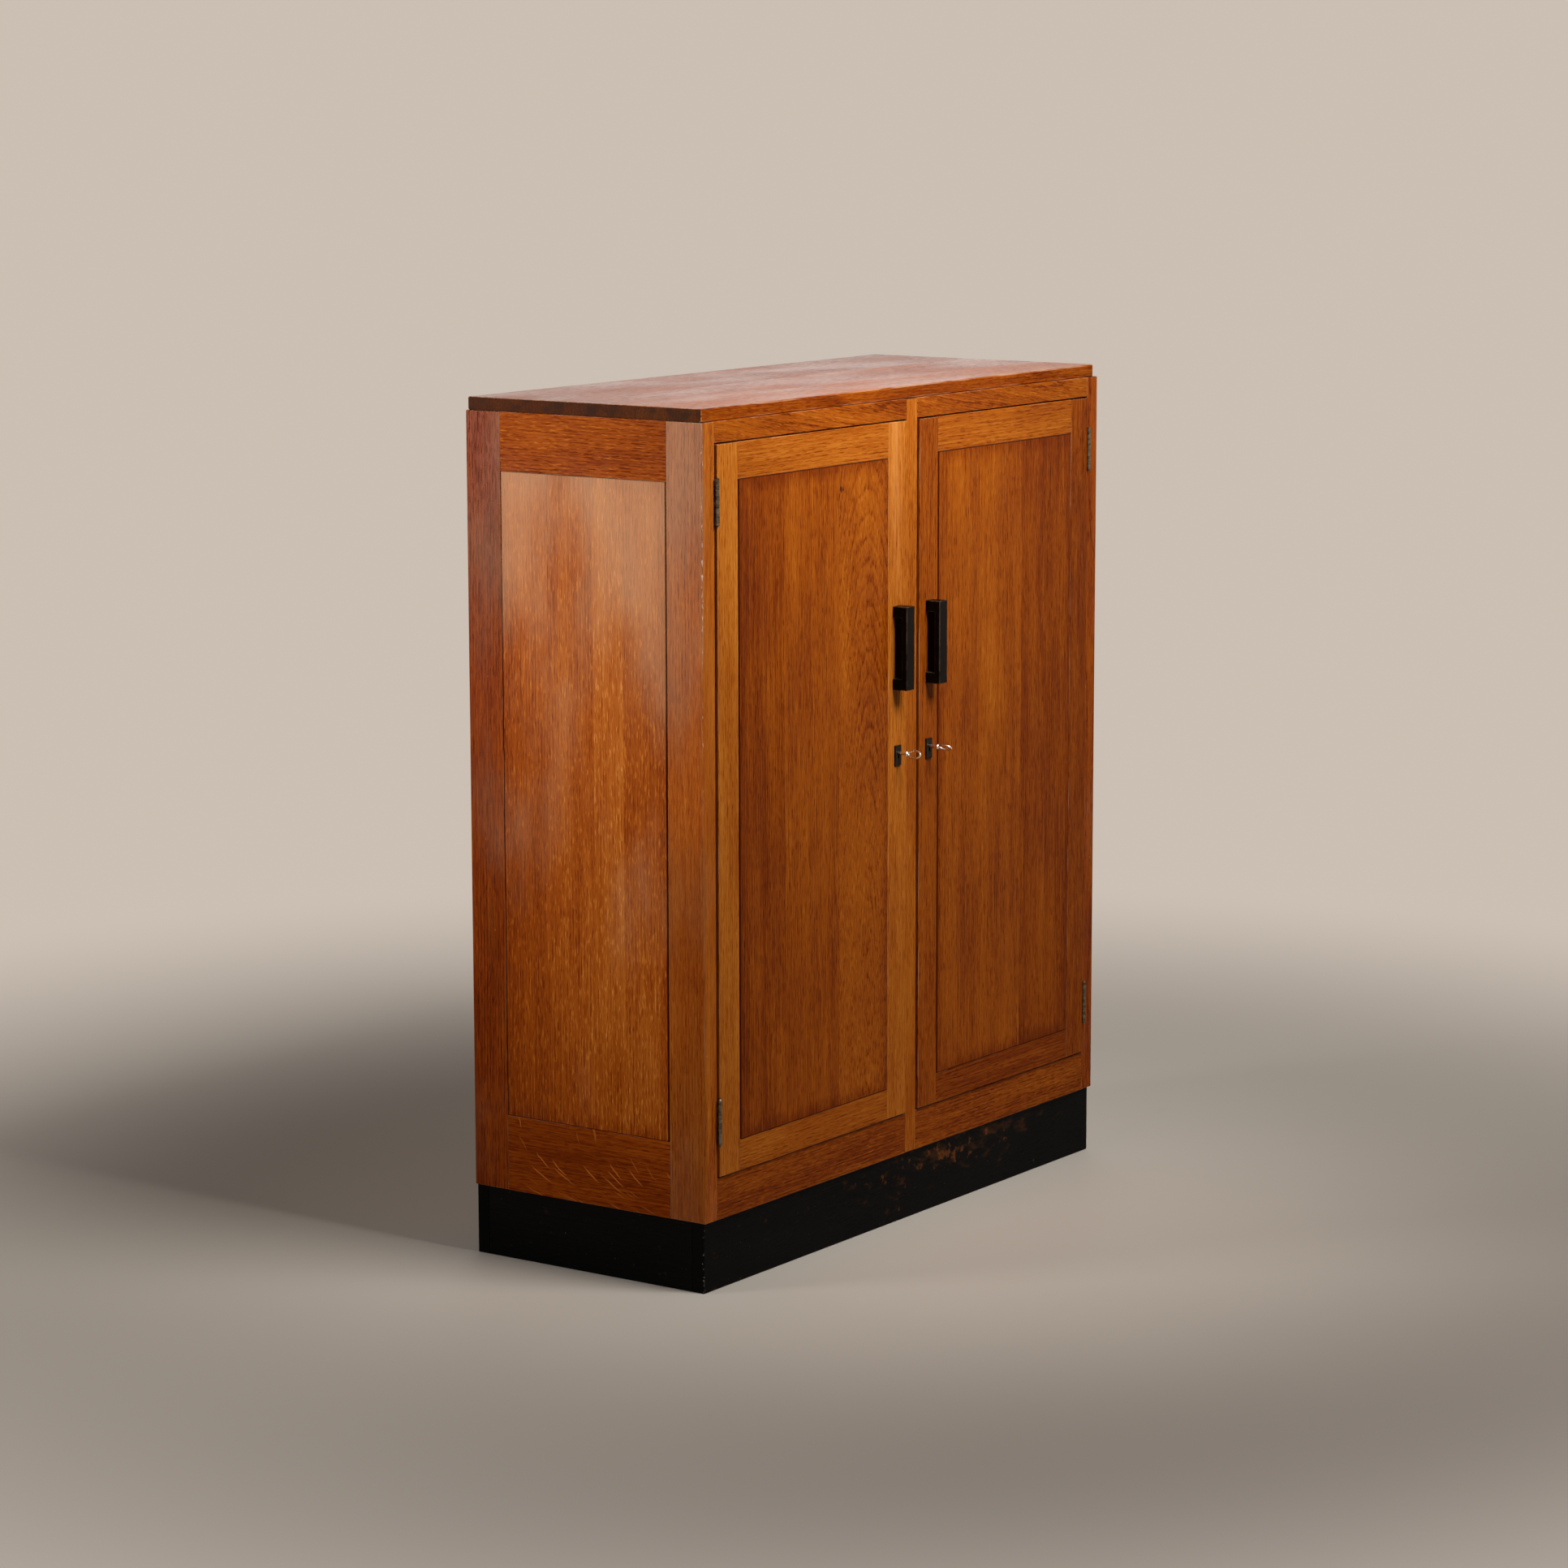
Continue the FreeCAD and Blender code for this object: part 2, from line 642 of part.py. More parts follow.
def lock_key(side, lean):
    """A steel key standing in its lock, turned by its lean from the upright."""
    outer = "key_shank_reach + key_bow_wire / 2"
    inner = "escutcheon_thick + door_thick - key_tip_short"
    bit_front = "escutcheon_thick + door_thick - lock_case_depth + bolt_setback"
    bit_start = bit_front + " + (bolt_thick - key_bit_depth) / 2"
    key = joined([
        rod(("0", "-(%s)" % outer, "0"), "y", "key_shank_radius", "%s + %s" % (outer, inner)),
        rod(("0", "-key_shank_reach", "0"), "y", "key_collar_radius", "key_collar_thick"),
        block(("-key_bit_thick / 2", bit_start, "-key_bit_length"),
              ("key_bit_thick", "key_bit_depth", "key_bit_length")),
        trimmed(oval_disc("key_bow_length", "key_bow_width"), [
            oval_disc("key_bow_length - 2 * key_bow_wire", "key_bow_width - 2 * key_bow_wire")]),
    ])
    key.Placement.Rotation = FreeCAD.Rotation(FreeCAD.Vector(0, 1, 0), 1)
    bind(key, "Placement.Rotation.Angle", lean)
    place(key, (x_on(side, "lock_axis_near"), "door_front - escutcheon_thick", "key_height"))
    return key


# Doors: framed panels with butt hinges at the outer edge and a lock at the mullion.
door_height = "(door_top - door_bottom)"
door_panel_near = "hinge_edge_near + door_stile_width"
door_panel_run = "lock_edge_near - hinge_edge_near - 2 * door_stile_width"
door_panel_bottom = "door_bottom + door_bottom_rail_height"
door_panel_top = "door_top - door_top_rail_height"
stile_size = ("door_stile_width", "door_thick", door_height)
groove_size = ("groove_depth", "groove_width", door_height)
groove_deep = "door_front + groove_setback"
for side in SIDES:
    door = side + "_door_"
    axis_x = x_on(side, "hinge_axis_near")
    cuts = [side_block(side, door_panel_near + " - groove_depth", groove_deep, "door_bottom", groove_size)]
    for bottom in hinge_bottoms:
        cuts.append(rod((axis_x, "hinge_axis_back", "%s - knuckle_gap - pin_tip_length" % bottom), "z",
                        "knuckle_radius + knuckle_clear",
                        "hinge_height + 2 * (knuckle_gap + pin_tip_length)"))
        cuts.append(side_block(side, door_leaf_near, "hinge_axis_back", bottom,
                               ("leaf_thick", "knuckle_radius + knuckle_clear + leaf_width",
                                "hinge_height")))
    stile = side_block(side, "hinge_edge_near", "door_front", "door_bottom", stile_size)
    node(door + "hinge_stile", trimmed(stile, cuts))

    case = side_block(side, "lock_edge_near - lock_case_width", "lock_front", "lock_bottom",
                      ("lock_case_width", "lock_case_depth", "lock_case_height"))
    selvedge = side_block(side, "lock_edge_near - selvedge_thick", "lock_front",
                          "lock_bottom - selvedge_reach",
                          ("selvedge_thick", "lock_case_depth", "lock_case_height + 2 * selvedge_reach"))
    lock_body = joined([case, selvedge])
    stile = side_block(side, "lock_edge_near - door_stile_width", "door_front", "door_bottom", stile_size)
    cuts = [side_block(side, "lock_edge_near - door_stile_width", groove_deep, "door_bottom", groove_size)]
    cuts += [lock_body]
    cuts += keyhole(side, "door_front", "door_thick - lock_case_depth")
    cuts += screw_bores(side, "screw_radius + screw_clear", "door_front", "door_thick")
    node(door + "lock_stile", trimmed(stile, cuts))

    run = (door_panel_near, door_panel_run, "x")
    node(door + "top_rail", framed_rail(
        ("door_front", "door_thick"), run, door_panel_top, "door_top_rail_height",
        door_panel_top, door_panel_top + " + groove_depth", side))
    node(door + "bottom_rail", framed_rail(
        ("door_front", "door_thick"), run, "door_bottom", "door_bottom_rail_height",
        door_panel_bottom + " - groove_depth", "door_bottom", side))
    panel_height = "(%s) - (%s)" % (door_panel_top, door_panel_bottom)
    field = side_block(side, door_panel_near + " + panel_side_gap", "door_front - panel_proud",
                       door_panel_bottom + " + panel_end_gap",
                       (door_panel_run + " - 2 * panel_side_gap", "panel_proud + groove_setback",
                        panel_height + " - 2 * panel_end_gap"))
    tongue = side_block(side, door_panel_near + " - groove_depth + tongue_clear", groove_deep,
                        door_panel_bottom + " - groove_depth + tongue_clear",
                        (door_panel_run + " + 2 * (groove_depth - tongue_clear)", "groove_width",
                         panel_height + " + 2 * (groove_depth - tongue_clear)"))
    node(door + "panel", joined([field, tongue]))

    node(side + "_hinge_frame_leaves", hinge_leaves(side, frame_leaf_near, range(0, KNUCKLES, 2)))
    node(side + "_hinge_door_leaves", hinge_leaves(side, door_leaf_near, range(1, KNUCKLES, 2)))
    node(side + "_hinge_pins", grouped([hinge_pin(side, bottom) for bottom in hinge_bottoms]))

    node(side + "_handle", trimmed(pull_handle(side), finger_hollows(side) + screw_bores(
        side, "screw_radius + screw_clear", "door_front - screw_bite - screw_clear",
        "screw_bite + screw_clear")))
    shafts = screw_bores(side, "screw_radius", "door_front - screw_bite", "screw_bite + door_thick")
    heads = screw_bores(side, "screw_head_radius", "door_back", "screw_head_thick")
    node(side + "_handle_screws", grouped([joined(list(pair)) for pair in zip(shafts, heads)]))

    node(side + "_escutcheon", trimmed(escutcheon_plate(side), keyhole(
        side, "door_front - escutcheon_thick", "escutcheon_thick")))
    cavity = side_block(side, "lock_edge_near - lock_case_width + lock_wall", "lock_front",
                        "lock_bottom + lock_wall",
                        ("lock_case_width - lock_wall - selvedge_thick", "lock_case_depth - lock_wall",
                         "lock_case_height - 2 * lock_wall"))
    bolt_way = side_block(side, "lock_edge_near - selvedge_thick", "bolt_front - bolt_clear",
                          "bolt_bottom - bolt_clear",
                          ("selvedge_thick", "bolt_thick + 2 * bolt_clear", "bolt_height + 2 * bolt_clear"))
    key_seat = rod((x_on(side, "lock_axis_near"), "door_back - lock_wall", "key_height"), "y",
                   "key_shank_radius + key_shank_clear", "lock_wall")
    node(side + "_lock_case", trimmed(lock_body, [cavity, bolt_way, key_seat]))

    # The bolt stands where the key's lean has moved it from its drawn-back place.
    lean = side + "_key_lean"
    thrown = "bolt_throw * (key_back_angle - %s) / key_sweep" % lean
    bolt = side_block(side, "lock_edge_near - bolt_sink - bolt_length + " + thrown, "bolt_front",
                      "bolt_bottom", ("bolt_length", "bolt_thick", "bolt_height"))
    notch = side_block(side, "lock_axis_near - notch_back - notch_width / 2 + " + thrown, "bolt_front",
                       "bolt_bottom + bolt_height - notch_depth",
                       ("notch_width", "bolt_thick", "notch_depth"))
    node(side + "_lock_bolt", trimmed(bolt, [notch]))
    node(side + "_key", lock_key(side, lean if side == "left" else "-" + lean))

doc.recompute()

# Every feature has to be sound before the pieces are written.
for piece in doc.Objects:
    if "Invalid" in piece.State or "Error" in piece.State:
        raise RuntimeError("%s failed: %s" % (piece.Label, piece.State))
for name, piece in nodes.items():
    if piece.Shape.isNull() or not piece.Shape.isValid() or not piece.Shape.Solids:
        raise RuntimeError("%s has no sound solid" % name)

os.makedirs("parts", exist_ok=True)
for name, piece in nodes.items():
    piece.Shape.exportStep(os.path.join("parts", name + ".step"))
print("%d pieces written" % len(nodes))
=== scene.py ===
import json
import math
import random
from collections import namedtuple

import bmesh
import bpy
from mathutils import Matrix, Vector


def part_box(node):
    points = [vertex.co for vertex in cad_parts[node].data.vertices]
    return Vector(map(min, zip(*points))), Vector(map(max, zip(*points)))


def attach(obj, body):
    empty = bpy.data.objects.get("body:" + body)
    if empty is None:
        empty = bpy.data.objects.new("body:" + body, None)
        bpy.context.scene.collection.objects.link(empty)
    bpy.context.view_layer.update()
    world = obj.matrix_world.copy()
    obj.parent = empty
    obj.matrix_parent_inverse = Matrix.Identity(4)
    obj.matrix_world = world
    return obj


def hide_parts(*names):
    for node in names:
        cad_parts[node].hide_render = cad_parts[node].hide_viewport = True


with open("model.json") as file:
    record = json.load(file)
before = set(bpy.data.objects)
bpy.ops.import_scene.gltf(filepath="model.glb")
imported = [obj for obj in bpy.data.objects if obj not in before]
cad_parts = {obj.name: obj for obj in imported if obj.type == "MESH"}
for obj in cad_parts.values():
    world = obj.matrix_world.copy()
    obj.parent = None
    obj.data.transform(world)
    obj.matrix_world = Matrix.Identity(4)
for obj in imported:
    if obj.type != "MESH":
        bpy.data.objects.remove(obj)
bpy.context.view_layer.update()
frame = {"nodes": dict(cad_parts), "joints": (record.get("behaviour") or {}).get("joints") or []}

# The plinth is four boards of oak, stained black and waxed, butted at the corners.
# The stain is rubbed brown along the upper front and chipped at the near corner.
Board = namedtuple("Board", "tone across deep lean fleck start")
chance = random.Random(37)
square_on = 0.9
plinth_arris = 0.0012


def sawn(tone, across=None, deep=None, lean=None, fleck=0.5):
    """How a board was cut: its tone, where the heart of the log lay and how the grain leans."""
    drawn_across = chance.choice((-1, 1)) * chance.uniform(0.09, 0.2)
    drawn_deep = chance.uniform(0.015, 0.05)
    drawn_lean = chance.uniform(-0.025, 0.025)
    start = chance.uniform(0.0, 60.0)
    return Board(
        tone,
        drawn_across if across is None else across,
        drawn_deep if deep is None else deep,
        drawn_lean if lean is None else lean,
        fleck, start)


def wood_mesh():
    """An empty bmesh that can hold each board's grain, cut, worn and darkened edges, and a rim of dirt and
    painted shade.
    """
    mesh = bmesh.new()
    mesh.loops.layers.float_vector.new("grain")
    mesh.loops.layers.float.new("rim_dirt_and_shade")
    mesh.faces.layers.float_vector.new("cut")
    mesh.faces.layers.float_vector.new("edge")
    return mesh


def add_block(mesh, low, high, along, boards, arris, arris_mark=0.3, joints=(), dirt_and_shade_rim=0.0):
    """Adds a squared block of glued boards; joints are shares of its width, the rim width a darker rim's
    width.
    The rim is dirt and painted shade; arrises are eased and worn light, or below zero old polish and
    painted shade."""
    held = set(mesh.faces)
    size = high - low
    middle = (low + high) / 2
    cube = bmesh.ops.create_cube(mesh, size=1.0, matrix=Matrix.LocRotScale(middle, None, size))
    edges = list({edge for vert in cube["verts"] for edge in vert.link_edges})
    eased = bmesh.ops.bevel(mesh, geom=edges, offset=arris, offset_type="OFFSET", segments=2,
                            profile=0.5, affect="EDGES", material=-1)
    grain = mesh.loops.layers.float_vector["grain"]
    rim_dirt_and_shade = mesh.loops.layers.float["rim_dirt_and_shade"]
    cut = mesh.faces.layers.float_vector["cut"]
    edge_marks = mesh.faces.layers.float_vector["edge"]
    for face in eased["faces"]:
        face[edge_marks] = Vector((max(arris_mark, 0.0), 0.0, max(-arris_mark, 0.0)))
    length_axis = "xyz".index(along)
    width_axis, depth_axis = sorted({0, 1, 2} - {length_axis}, key=lambda axis: -size[axis])
    glue_lines = [low[width_axis] + share * size[width_axis] for share in joints]
    scores = [(width_axis, place) for place in glue_lines]
    if dirt_and_shade_rim:
        for axis in (width_axis, length_axis):
            scores += [(axis, low[axis] + dirt_and_shade_rim), (axis, high[axis] - dirt_and_shade_rim)]
    for axis, place in scores:
        across = Vector([float(index == axis) for index in range(3)])
        faces = [face for face in mesh.faces if face not in held]
        edges = list({edge for face in faces for edge in face.edges})
        verts = list({vert for face in faces for vert in face.verts})
        bmesh.ops.bisect_plane(mesh, geom=verts + edges + faces, dist=1e-6,
                               plane_co=across * place, plane_no=across)
    mesh.normal_update()
    bounds = [low[width_axis]] + glue_lines + [high[width_axis]]
    for face in mesh.faces:
        if face in held:
            continue
        place = face.calc_center_median()[width_axis]
        index = sum(place > glue_line for glue_line in glue_lines)
        board = boards[index]
        centre = (bounds[index] + bounds[index + 1]) / 2
        face[cut] = Vector((board.tone, board.fleck, 0.0))
        if abs(face.normal[length_axis]) > square_on:
            face[edge_marks] = Vector((0.0, 1.0, 0.0))
        for loop in face.loops:
            spot = loop.vert.co
            along_grain = spot[length_axis] - middle[length_axis]
            into = spot[depth_axis] - middle[depth_axis]
            loop[grain] = Vector((
                spot[width_axis] - centre - board.across,
                into - board.deep + board.lean * along_grain,
                along_grain + board.start))
            if dirt_and_shade_rim:
                rim = min(min(spot[axis] - low[axis], high[axis] - spot[axis])
                          for axis in (width_axis, length_axis))
                loop[rim_dirt_and_shade] = max(0.0, 1.0 - rim / dirt_and_shade_rim)


def shade(piece):
    """Keeps flats flat and eased edges soft."""
    piece.data.shade_smooth()
    piece.data.set_sharp_from_angle(angle=math.radians(50))
    shading = piece.modifiers.new("even_shading", "WEIGHTED_NORMAL")
    shading.keep_sharp = True


def fit(name, mesh, finish, body, slot, *nodes):
    """Makes a piece of a bmesh, rides it on its body and lets it stand for its nodes."""
    data = bpy.data.meshes.new(name)
    mesh.to_mesh(data)
    mesh.free()
    data.materials.append(finish)
    piece = bpy.data.objects.new(name, data)
    bpy.context.scene.collection.objects.link(piece)
    shade(piece)
    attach(piece, body)
    if nodes:
        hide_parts(*nodes)
    return piece


def add_node(tree, kind, sockets, **settings):
    """Adds a shader node and sets or links its sockets."""
    node = tree.nodes.new("ShaderNode" + kind)
    for name, value in settings.items():
        setattr(node, name, value)
    for name, value in sockets.items():
        if isinstance(value, bpy.types.NodeSocket):
            tree.links.new(value, node.inputs[name])
        else:
            node.inputs[name].default_value = value
    return node


def calc(tree, operation, *values):
    """A sum on sockets and numbers."""
    return add_node(tree, "Math", dict(enumerate(values)), operation=operation).outputs[0]


def streaks(tree, place, size, detail=2.0):
    """Noise drawn out to a size in metres across, into and along the grain."""
    drawn_out = add_node(tree, "Mapping", {"Vector": place, "Scale": size},
                         vector_type="TEXTURE").outputs[0]
    noise = add_node(tree, "TexNoise", {"Vector": drawn_out, "Scale": 1.0, "Detail": detail})
    return noise.outputs[0]


def between(tree, value, low, high, start=0.0, end=1.0):
    """Goes from start to end while a value goes from low to high."""
    sockets = {"Value": value, "From Min": low, "From Max": high, "To Min": start, "To Max": end}
    return add_node(tree, "MapRange", sockets, interpolation_type="SMOOTHSTEP").outputs[0]


def shaded(tree, value, stops):
    """A colour for each value, from stops of place and colour."""
    ramp = add_node(tree, "ValToRGB", {"Fac": value})
    elements = ramp.color_ramp.elements
    while len(elements) < len(stops):
        elements.new(0.5)
    for element, (place, colour) in zip(elements, stops):
        element.position = place
        element.color = (*colour, 1.0)
    return ramp.outputs["Color"]


def blended(tree, share, first, second):
    """A mix of two colours, each a socket or a colour."""
    mix = add_node(tree, "Mix", {0: share}, data_type="RGBA")
    for index, colour in ((6, first), (7, second)):
        if isinstance(colour, bpy.types.NodeSocket):
            tree.links.new(colour, mix.inputs[index])
        else:
            mix.inputs[index].default_value = (*colour, 1.0)
    return mix.outputs[2]


def kept_on_mesh(tree, name, output="Vector"):
    """A value that the mesh keeps under a name."""
    return add_node(tree, "Attribute", {}, attribute_name=name).outputs[output]


def on_object(tree):
    """Places on the object, in metres."""
    return add_node(tree, "TexCoord", {}).outputs["Object"]


def lay_over(tree, share, colour):
    """Lays another colour over a finish, as much as a share says."""
    socket = tree.nodes["Principled BSDF"].inputs["Base Color"]
    tree.links.new(blended(tree, share, socket.links[0].from_socket, colour), socket)


def add_relief(tree, shader, height, strength, distance):
    """Lets a height show as fine relief in the light."""
    bump = add_node(tree, "Bump", {"Height": height, "Strength": strength, "Distance": distance})
    tree.links.new(bump.outputs[0], shader.inputs["Normal"])


def new_finish(name):
    """A new material with its tree and shader."""
    finish = bpy.data.materials.new(name)
    finish.use_nodes = True
    return finish, finish.node_tree, finish.node_tree.nodes["Principled BSDF"]


def timber(name, shades, worn_shade, end_shade, roughness, specular):
    """Wood: rings with their pores, fibres, stain clouds and flecks along each board's own grain."""
    finish, tree, shader = new_finish(name)
    grain = kept_on_mesh(tree, "grain")
    cut = add_node(tree, "SeparateXYZ", {0: kept_on_mesh(tree, "cut")}).outputs
    edge = add_node(tree, "SeparateXYZ", {0: kept_on_mesh(tree, "edge")}).outputs
    rim_dirt_and_shade = kept_on_mesh(tree, "rim_dirt_and_shade", "Fac")

    ring_width = 0.0048
    sway_reach = 0.018
    waver_reach = 0.0024
    middle_tone = 0.56
    flat = add_node(tree, "VectorMath", {0: grain, 1: (1.0, 1.0, 0.0)}, operation="MULTIPLY")
    radius = add_node(tree, "VectorMath", {0: flat.outputs[0]}, operation="LENGTH").outputs["Value"]
    sway = streaks(tree, grain, (0.12, 0.12, 0.6))
    waver = streaks(tree, grain, (0.008, 0.008, 0.05))
    bent = calc(tree, "MULTIPLY_ADD", sway, sway_reach, radius)
    bent = calc(tree, "MULTIPLY_ADD", waver, waver_reach, bent)
    early = shaded(tree, calc(tree, "FRACT", calc(tree, "DIVIDE", bent, ring_width)), [
        (0.0, (0.0,) * 3), (0.12, (1.0,) * 3), (0.4, (0.35,) * 3), (1.0, (0.0,) * 3)])
    vigour = between(tree, streaks(tree, grain, (0.04, 0.04, 0.4)), 0.36, 0.64, 0.3, 1.0)
    rings = calc(tree, "MULTIPLY", early, vigour)
    bands = streaks(tree, grain, (0.022, 0.022, 0.7), detail=3.0)
    fibres = streaks(tree, grain, (0.002, 0.002, 0.1), detail=3.0)
    clouds = streaks(tree, grain, (0.10, 0.10, 0.25))
    pore_noise = streaks(tree, grain, (0.0016, 0.0016, 0.017), detail=1.0)
    pores = calc(tree, "MULTIPLY", between(tree, pore_noise, 0.51, 0.61),
                 calc(tree, "MULTIPLY_ADD", rings, 0.65, 0.35))
    fleck_noise = streaks(tree, grain, (0.002, 0.002, 0.014), detail=1.0)
    flecks = calc(tree, "MULTIPLY", between(tree, fleck_noise, 0.56, 0.68), cut[1])

    weights = ((bands, 0.25), (fibres, 0.5), (clouds, 0.35))
    tone = calc(tree, "ADD", cut[0], middle_tone - sum(weight for _, weight in weights) / 2)
    # edge[2] darkens arrises with old polish and painted shade.
    weights += ((rings, -0.14), (pores, -0.27), (flecks, 0.14), (edge[2], -0.6))
    # The rim value darkens a panel's rim with dirt and painted shade, broken up by the clouds.
    weights += ((calc(tree, "MULTIPLY", rim_dirt_and_shade, clouds), -0.3),)
    for share, weight in weights:
        tone = calc(tree, "MULTIPLY_ADD", share, weight, tone)
    colour = shaded(tree, tone, shades)
    rub = between(tree, streaks(tree, grain, (0.004, 0.004, 0.06), detail=3.0), 0.42, 0.62)
    arris_mark = calc(tree, "MULTIPLY", edge[0], rub)
    colour = blended(tree, arris_mark, colour, worn_shade)
    end_grain = calc(tree, "MULTIPLY", edge[1], between(tree, bands, 0.3, 0.6, 0.95, 0.75))
    tree.links.new(blended(tree, end_grain, colour, end_shade), shader.inputs["Base Color"])

    gloss = between(tree, clouds, 0.3, 0.7, *roughness)
    for share, weight in ((pores, 0.15), (arris_mark, 0.15), (edge[1], 0.25), (edge[2], 0.3)):
        gloss = calc(tree, "MULTIPLY_ADD", share, weight, gloss)
    tree.links.new(gloss, shader.inputs["Roughness"])
    shader.inputs["Specular IOR Level"].default_value = specular
    height = calc(tree, "MULTIPLY_ADD", pores, -1.0, calc(tree, "MULTIPLY", fibres, 0.4))
    height = calc(tree, "MULTIPLY_ADD", flecks, 0.3, height)
    add_relief(tree, shader, height, strength=0.35, distance=0.0005)
    return finish


def wear_and_light_patch(finish, centre, size, patch_shade, grit, cover, amount, soft=0.06):
    """Lays another shade over a finish in a patch round a place on the object, for wear, a knot and painted
    light and shade.
    Grit is the size of its spots, cover how thickly they lie and soft how far they fade."""
    patched_above = 0.78
    tree = finish.node_tree
    place = on_object(tree)
    patch = add_node(tree, "Mapping", {"Vector": place, "Location": centre, "Scale": size},
                     vector_type="TEXTURE").outputs[0]
    inside = add_node(tree, "TexGradient", {"Vector": patch}, gradient_type="SPHERICAL").outputs[1]
    noise = streaks(tree, place, grit, detail=4.0)
    edge = calc(tree, "MULTIPLY_ADD", inside, cover, noise)
    share = between(tree, edge, patched_above - soft, patched_above + soft, 0.0, amount)
    lay_over(tree, share, patch_shade)


black_stain = timber(
    "black_stain",
    [(0.0, (0.0012, 0.0012, 0.0012)), (0.5, (0.0026, 0.0026, 0.0025)), (1.0, (0.008, 0.007, 0.006))],
    worn_shade=(0.02, 0.018, 0.016), end_shade=(0.0016, 0.0016, 0.0016),
    roughness=(0.34, 0.5), specular=0.03)
brown_haze = (0.085, 0.03, 0.008)
bare_brown = (0.26, 0.08, 0.016)
chipped_wood = (0.3, 0.27, 0.23)
near_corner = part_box("plinth_front_board")[0]
wear_and_light_patch(black_stain, centre=(0.13, near_corner.y, 0.075), size=(0.36, 0.03, 0.055), patch_shade=brown_haze,
       grit=(0.03, 0.02, 0.014), cover=0.26, amount=0.5, soft=0.12)
wear_and_light_patch(black_stain, centre=(0.1, near_corner.y, 0.072), size=(0.3, 0.03, 0.038), patch_shade=bare_brown,
       grit=(0.012, 0.02, 0.012), cover=0.2, amount=0.5, soft=0.09)
wear_and_light_patch(black_stain, centre=(near_corner.x, near_corner.y, 0.03), size=(0.004, 0.004, 0.11),
       patch_shade=chipped_wood, grit=(0.0025, 0.0025, 0.004), cover=0.24, amount=0.7)
for side, along in (("front", "x"), ("back", "x"), ("left", "y"), ("right", "y")):
    mesh = wood_mesh()
    add_block(mesh, *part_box(f"plinth_{side}_board"), along, [sawn(0.0)], plinth_arris)
    fit(f"black_plinth_{side}", mesh, black_stain, "carcass", "ebonised_plinth", f"plinth_{side}_board")

# Blocks of plain oak are glued into the plinth's four corners, a little short of the floor.
# They are sawn square and left without polish.
inner_oak = timber(
    "inner_oak",
    [(0.0, (0.11, 0.045, 0.014)), (0.3, (0.25, 0.12, 0.042)), (0.5, (0.37, 0.19, 0.075)),
     (0.72, (0.47, 0.265, 0.115)), (1.0, (0.58, 0.36, 0.18))],
    worn_shade=(0.52, 0.34, 0.18), end_shade=(0.13, 0.06, 0.022), roughness=(0.5, 0.62), specular=0.15)
corner_block = 0.030
block_arris = 0.0008
blocks_low, blocks_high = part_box("plinth_corner_blocks")
mesh = wood_mesh()
for x in (blocks_low.x, blocks_high.x - corner_block):
    for y in (blocks_low.y, blocks_high.y - corner_block):
        low = Vector((x, y, blocks_low.z))
        high = Vector((x + corner_block, y + corner_block, blocks_high.z))
        add_block(mesh, low, high, "z", [sawn(-0.05)], block_arris)
fit("glued_corner_blocks", mesh, inner_oak, "carcass", "inner_wood", "plinth_corner_blocks")

# Each side is a frame of two stiles and two rails, flush and polished, round a panel.
# The panel is glued up from upright boards, and its tongue sits loose in the frame's grooves.
# The left side has a painted sheen at the top and painted light and shade on its front stile.
# Its front arris is rubbed through to bare wood and painted pale as a highlight.
oak_shades = [(0.0, (0.075, 0.0105, 0.0008)), (0.25, (0.185, 0.031, 0.0016)), (0.5, (0.345, 0.084, 0.005)),
              (0.75, (0.5, 0.17, 0.02)), (1.0, (0.66, 0.3, 0.078))]
red_shades = [(0.0, (0.07, 0.0085, 0.0006)), (0.25, (0.18, 0.0265, 0.0012)), (0.5, (0.34, 0.07, 0.0034)),
              (0.75, (0.5, 0.145, 0.014)), (1.0, (0.64, 0.26, 0.06))]
worn_oak = (0.62, 0.4, 0.24)
dark_ends = (0.035, 0.018, 0.011)
satin = (0.3, 0.44)
handled_satin = (0.32, 0.44)
dull_wax = (0.36, 0.5)
polished_oak = timber("polished_oak", oak_shades, worn_oak, dark_ends, satin, specular=0.025)
red_oak = timber("red_oak", red_shades, worn_oak, dark_ends, dull_wax, specular=0.015)
wear_and_light_oak = timber("wear_and_light_oak", red_shades, worn_oak, dark_ends, handled_satin, specular=0.03)
sheen_painted_oak = timber("sheen_painted_oak", red_shades, worn_oak, dark_ends, handled_satin, specular=0.03)
painted_sheen = (0.6, 0.34, 0.18)
painted_stile_sheen = (0.46, 0.32, 0.2)
painted_low_shade = (0.1, 0.02, 0.002)
painted_face_light = (0.5, 0.18, 0.024)
bare_wood_and_highlight = (0.66, 0.52, 0.43)
cloudy = (0.12, 0.12, 0.25)
light_inset = 0.02
front_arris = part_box("left_side_front_stile")[0]
# Painted sheen: the left side's panels are painted paler towards the top.
wear_and_light_patch(sheen_painted_oak, centre=(front_arris.x, 0.0, 1.2), size=(0.008, 9.0, 0.5), patch_shade=painted_sheen,
       grit=cloudy, cover=0.5, amount=0.55, soft=0.3)
# Painted sheen: the left side's stiles are painted greyer towards the top.
wear_and_light_patch(wear_and_light_oak, centre=(front_arris.x, front_arris.y, 1.2), size=(0.008, 0.42, 0.5), patch_shade=painted_stile_sheen,
       grit=cloudy, cover=0.5, amount=0.4, soft=0.3)
# Painted shade: the left side's front stile is painted darker low down.
wear_and_light_patch(wear_and_light_oak, centre=(front_arris.x, front_arris.y, 0.3), size=(0.008, 0.4, 0.6), patch_shade=painted_low_shade,
       grit=cloudy, cover=0.5, amount=0.32, soft=0.22)
